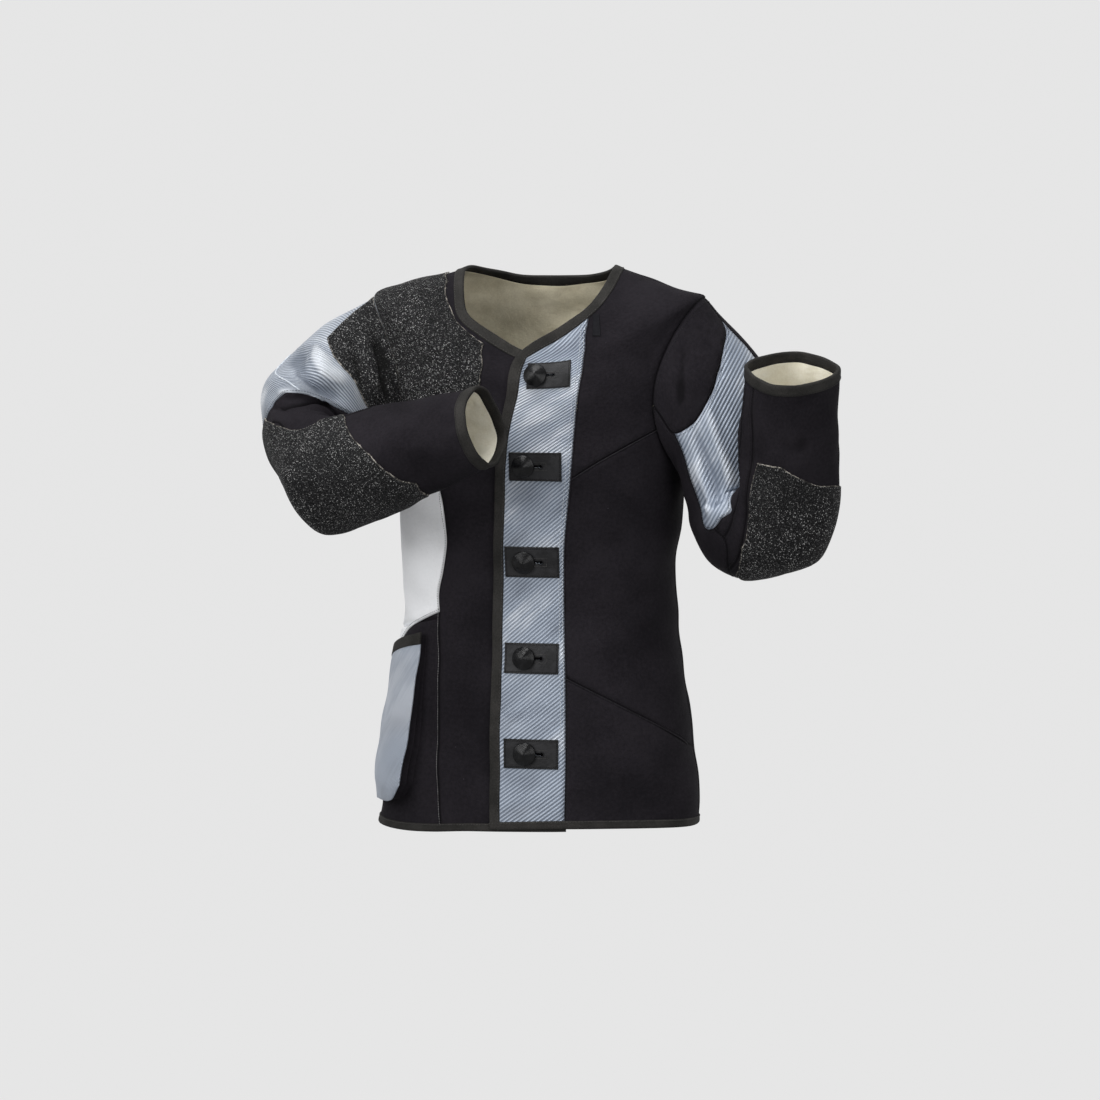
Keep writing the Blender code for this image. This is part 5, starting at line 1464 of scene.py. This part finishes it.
def along(surface, points, step=0.003):
    """A smooth line through table points, as angles and distances."""
    return surface.unflat(smooth_line(surface, points, step))


def part_of(line, low, high):
    """The stretch of a line between two shares of its own length."""
    return line[int(len(line) * low):int(len(line) * high)]


BODY = SURFACES[0]
body = build_body()
holes = ["slot_%d" % k for k in range(1, 6)]
for name in BODY_SEEDS:
    chosen = body.pick([name], without=holes if name == "placket" else ())
    cloth(body, name + "_cloth", chosen, -CANVAS, 0.0, WALL_LOOK.get(name, "black_canvas"), [name])
chosen = body.pick(shapes=["lining"], without=["neck_strip", "arm_margin_left", "arm_margin_right"])
under = -CANVAS - 2 * GAP
node = "lining_back_neck"
cloth(body, "back_neck_lining", chosen, under - LINING, under, "tan_lining", [node], dip=False)
chosen = body.pick(shapes=["shoulder_patch"], without=["arm_margin_right"])
rough = {"bevel": 0.0006, "dip": False, "edge_look": "raw_edge"}
cloth(body, "shoulder_grip", chosen, GAP, GAP + PATCH, "grip_cloth", ["grip_shoulder_right"], **rough)
cloth(body, "blank_tag", body.pick(shapes=["tag"]), GAP, GAP + 0.001, "woven_tag", ["tag"], dip=False)
front_and_neck = along(BODY, FRONT_EDGE + NECK[1:])
bound = ["binding_front_edge", "binding_neck"]
tape("front_and_neck_tape", BODY, front_and_neck, 0.0115, over_body(BODY, False), bound)
tape("hem_tape", BODY, along(BODY, HEM), 0.0090, over_body(BODY, False), ["binding_hem"])


# Buttons on their leather plates
# Stitching set in from a plate's edge, and the box of stitches round its slot's end
PLATE_INSET = 0.0022
TACK = {"from": 0.013, "to": 0.0272, "half": 0.0048}
plate_edges, slot_edges = [], []
for k, (x0, x1, u0, u1, xb) in enumerate(PLATES, 1):
    chosen = body.pick(shapes=["plate_%d" % k], without=["slot_%d" % k])
    node = "button_plate_%d" % k
    leather = {"bevel": 0.0005, "dip": False}
    cloth(body, "plate_leather_%d" % k, chosen, GAP, GAP + PATCH, "plate_leather", [node], **leather)
    up = (u0 + u1) / 2
    at = np.array([[angle_at_x(xb, up), up]])
    foot, top = -UNDERLAP + 2 * GAP, GAP + PATCH + GAP
    profile = [(0.0, foot), (SHANK, foot), (SHANK, top)] + [(r, top + h) for r, h in BUTTON_ROWS]
    place, axis = BODY.point(at)[0], BODY.normal(at)[0]
    knob = turned("coat_button_%d" % k, place, axis, profile, 48, "button_plastic")
    dress(knob, "button_plastic", "button_%d" % k)
    rim = box_at(x0 + PLATE_INSET, x1 - PLATE_INSET, u0 + PLATE_INSET, u1 - PLATE_INSET)
    tack = box_at(xb + TACK["from"], xb + TACK["to"], up + TACK["half"], up - TACK["half"])
    for rows, box in ((plate_edges, rim + rim[:1]), (slot_edges, tack)):
        line = BODY.unflat(smooth_line(BODY, box, bend=False))
        rows.append(on_cloth(BODY, line, GAP + PATCH + 0.0001))
    ring = BODY.unflat(keyhole(BODY, up, xb)[1:-1])
    turns = np.radians(range(0, 360, 45))
    lip = [(0.0005 * math.cos(a), GAP + PATCH + 0.0004 * math.sin(a)) for a in turns]
    thing, _ = sweep("keyhole_lip_%d" % k, BODY, ring, lip, "thread_black", over_body(BODY, False))
    dress(thing, "thread_black")
sew("plate_stitches", plate_edges, "thread_black", 0.0026, 0.0023, 0.0008)
sew("slot_stitches", slot_edges, "thread_dark", 0.0013, 0.0012, 0.0006)


# Hip pocket: face, band at its mouth and folded bellows
def pocket_height(uv):
    height = np.interp(uv[:, 1], [a for a, _ in POCKET_HEIGHT], [b for _, b in POCKET_HEIGHT])
    share = POCKET_REAR["share"]
    return height * (share + (1 - share) * smooth_step(POCKET_REAR["from"], POCKET_REAR["to"], uv[:, 0]))


# Bellows: width laid flat, then each fold's distance in and share of the height
BELLOWS = [(0.0002, 0.0), (0.0045, 0.22), (0.0008, 0.46), (0.0052, 0.70), (0.0008, 1.0)]
front = body.pick(shapes=["pocket"], without=["pocket_band"])
band = np.nonzero(body.inside["pocket"] & body.inside["pocket_band"])[0]
raised = {"lift": pocket_height, "dip": False}
cloth(body, "pocket_face", front, 0.0, CANVAS, "twill_pocket", ["pocket_front"], **raised)
cloth(body, "pocket_mouth_band", band, 0.0, CANVAS + 0.0008, "binding_tape", ["pocket_band"], **raised)
rim, into = body.border(np.concatenate([front, band]))
after = dict(rim)
corner_at = [body.surface.flat([POCKET[k]])[0] for k in (0, -1)]
fore, rear = (min(after, key=lambda v: np.linalg.norm(body.xy[v] - at)) for at in corner_at)
path = [rear]
while path[-1] != fore:
    path.append(after[path[-1]])
base, face = body.p[path], body.n[path]
inward = np.array([unit(body.shift({v: into[v]}, {"cut": 0.001, "seam": 0.001})[v]) for v in path])
tall = pocket_height(body.uv[path])[:, None] - 0.0006
outer = [base + inward * off + face * (0.0003 + (tall - 0.0003) * share) for off, share in BELLOWS]
inner = [ring + inward * 0.0012 for ring in outer]
verts = np.stack(outer + inner[::-1], axis=1)
m = verts.shape[1]
faces = tube_faces(len(path), m)
faces += [list(range(m))[::-1], [(len(path) - 1) * m + j for j in range(m)]]
run = run_along(base)
cut = [(run[f // m], (f % m) * 0.004) for face_corners in faces for f in face_corners]
far = {"seam": np.full(len(verts) * m, 1.0), "rim": np.full(len(verts) * m, 1.0)}
bellows = add_mesh("pocket_bellows", verts.reshape(-1, 3), faces, ["black_canvas"], cut, far)
mesh = bmesh.new()
mesh.from_mesh(bellows.data)
bmesh.ops.recalc_face_normals(mesh, faces=mesh.faces)
mesh.to_mesh(bellows.data)
mesh.free()
dress(bellows, "black_canvas", "pocket_gusset")


def straight_back(line, distance):
    return line - np.array([0, distance])


# Sleeves
tubes = {}
for side, word in ((1, "left"), (-1, "right")):
    arm = SURFACES[side]
    tube = tubes[side] = build_sleeve(side)
    for name in tube.names:
        look = WALL_LOOK.get(name, "black_canvas")
        cloth(tube, name + "_cloth", tube.pick([name]), -CANVAS, 0.0, look, [name])
    chosen = tube.pick(shapes=["lining_strip"], without=["cuff_strip"])
    node, under = "lining_cuff_" + word, -CANVAS - GAP
    cloth(tube, "cuff_lining_" + word, chosen, under - LINING, under, "cuff_lining", [node], dip=False)
    for name in SLEEVE_PATCHES[side]:
        patch = tube.pick(shapes=[name])
        cloth(tube, name + "_cloth", patch, GAP, GAP + PATCH, "grip_cloth", [name], **rough)
    ring = np.array([(CUT[side] + 2.5 * k, LENGTH[side]) for k in range(144)])
    node = "binding_cuff_" + word
    tape("cuff_tape_" + word, arm, ring, 0.0120, straight_back, [node], closed=True)


# Piping and rows of stitches
right_seam = along(BODY, SEAMS["placket"][1:-1])
cord("piping_placket", BODY, right_seam, 0.0007, -0.0003, "piping_dark")
for name, line in (("upper", SEAMS["left_upper"]), ("lower", SEAMS["left_lower"][:-1])):
    cord("piping_" + name, BODY, along(BODY, line), 0.0007, -0.0003, "piping_dark")
arm_seam = along(SURFACES[-1], [(114, 0.112), (111, 0.135), (92.6, 0.158), (80, 0.172), (69.7, 0.186)])
cord("piping_arm", SURFACES[-1], arm_seam, 0.0009, 0.0002, "thread_silver")
double = [beside(BODY, right_seam, gap, 0.0002) for gap in (0.0018, 0.0058)]
sew("placket_stitches", double, "thread_silver", 0.0032, 0.0027, 0.0008)
light = [beside(BODY, along(BODY, [(333.6, 0.008)] + SEAMS["right_front"][1:7]), 0.0016, 0.0003)]
sew("front_seam_stitches", light, "thread_grey", 0.0030, 0.0026, 0.0007)
tape_rows = [
    beside(BODY, front_and_neck, -0.0098, TAPE_FACE), beside(BODY, along(BODY, HEM), -0.0076, TAPE_FACE),
]
sew("tape_stitches", tape_rows, "thread_dark", 0.0036, 0.0028, 0.0006)
black = []
for line in (SEAMS["left_upper"], SEAMS["left_lower"][:-1], SEAMS["left_side"][1:],
             SEAMS["right_side"][1:], SEAMS["hip_top"]):
    black.append(beside(BODY, along(BODY, line), 0.0030, 0.0001))
for side in (1, -1):
    arm = SURFACES[side]
    hole = np.array([(CUT[side] + 2.5 * k, 0.004) for k in range(145)])
    black.append(on_cloth(arm, hole, 0.0001))
    cuff = np.array([(CUT[side] + 2.5 * k, LENGTH[side] - 0.0102) for k in range(145)])
    black.append(on_cloth(arm, cuff, TAPE_FACE))
    for line in SLEEVE_SEAMS[side].values():
        inside = np.clip(line, (CUT[side], 0.0), (CUT[side] + 360, LENGTH[side] - 0.012))
        dense = along(arm, inside)
        moved = np.linalg.norm(np.diff(arm.flat(dense), axis=0), axis=1) > 1e-6
        dense = part_of(dense[np.concatenate([[True], moved])], 0.01, 0.99)
        black += [beside(arm, dense, gap, 0.0001) for gap in (0.0028, -0.0028)]
sew("black_stitches", black, "thread_black", 0.0034, 0.0027, 0.0006)


# Cut edges of the grip cloth, with threads working loose
def cut_edge(shell, name, height, inset=0.003):
    """A patch's edge: its points, the way out and the way up."""
    closed = np.vstack([shell.shapes[name], shell.shapes[name][:1]])
    line = shell.surface.unflat(closed)
    probe = shell.surface.flat(shell.surface.step_in(line, 0.002))
    left_inside = in_polygon(probe[2:-2], shell.shapes[name]).mean() > 0.5
    stepped = shell.surface.step_in(line, inset if left_inside else -inset)
    here, there = on_cloth(shell.surface, line, height), on_cloth(shell.surface, stepped, height)
    return here, here - there, shell.surface.normal(line)


patches = [(body, "shoulder_patch")]
patches += [(tubes[side], name) for side in (-1, 1) for name in SLEEVE_PATCHES[side]]
edges = [cut_edge(shell, name, GAP + PATCH * 0.7) for shell, name in patches]
dress(frays("loose_threads", edges, 5, "raw_edge"), "raw_edge")


# Studio: pale sweep behind, three broad soft lights, and the photograph's view
def studio_sweep():
    rows = [(0.9, -1.48), (3.6, -1.48)]
    rows += [(3.6 + 1.6 * math.sin(a), 0.12 - 1.6 * math.cos(a)) for a in np.radians(range(10, 91, 10))]
    rows += [(5.2, 5.0)]
    verts = [(x, y, z) for y, z in rows for x in (-8.0, 8.0)]
    faces = [[2 * k, 2 * k + 1, 2 * k + 3, 2 * k + 2] for k in range(len(rows) - 1)]
    mesh = bpy.data.meshes.new("studio_sweep")
    mesh.from_pydata(verts, [], faces)
    mesh.shade_smooth()
    paint = bpy.data.materials.new("studio_paper")
    paint.use_nodes = True
    shader = paint.node_tree.nodes["Principled BSDF"]
    shader.inputs["Base Color"].default_value = (0.02, 0.02, 0.02, 1)
    shader.inputs["Roughness"].default_value = 1.0
    shader.inputs["Specular IOR Level"].default_value = 0.0
    shader.inputs["Emission Color"].default_value = (1, 1, 1, 1)
    shader.inputs["Emission Strength"].default_value = 0.775
    mesh.materials.append(paint)
    in_scene("studio_sweep", mesh)


def soft_light(name, place, size, power, aim=(0.0, 0.0, -0.33)):
    lamp = bpy.data.lights.new(name, "AREA")
    lamp.shape, lamp.size, lamp.size_y, lamp.energy = "RECTANGLE", size[0], size[1], power
    thing = in_scene(name, lamp)
    thing.location = place
    thing.rotation_euler = (Vector(aim) - Vector(place)).to_track_quat("-Z", "Y").to_euler()


studio_sweep()
soft_light("overhead", (-0.3, -1.1, 2.8), (1.8, 1.4), 72)
soft_light("left_window", (-2.3, -3.4, 1.5), (3.0, 2.8), 105)
soft_light("right_window", (2.4, -2.9, 0.6), (1.6, 2.4), 34)
world = bpy.data.worlds.new("studio")
world.use_nodes = True
world.node_tree.nodes["Background"].inputs["Color"].default_value = (0.8, 0.8, 0.8, 1)
world.node_tree.nodes["Background"].inputs["Strength"].default_value = 0.46
bpy.context.scene.world = world
bpy.context.scene.view_settings.view_transform = "Standard"

turn, rise, distance = math.radians(12), math.radians(6), 4.5
right = Vector((math.cos(turn), math.sin(turn), 0))
up = Vector((-math.sin(turn) * math.sin(rise), math.cos(turn) * math.sin(rise), math.cos(rise)))
back = Vector((math.sin(turn) * math.cos(rise), -math.cos(turn) * math.cos(rise), math.sin(rise)))
lens = bpy.data.cameras.new("camera")
lens.lens, lens.sensor_width = 122.7, 36
camera = in_scene("camera", lens)
camera.location = right * 0.012 + up * -0.3408 + back * distance
camera.rotation_euler = back.to_track_quat("Z", "Y").to_euler()
bpy.context.scene.camera = camera
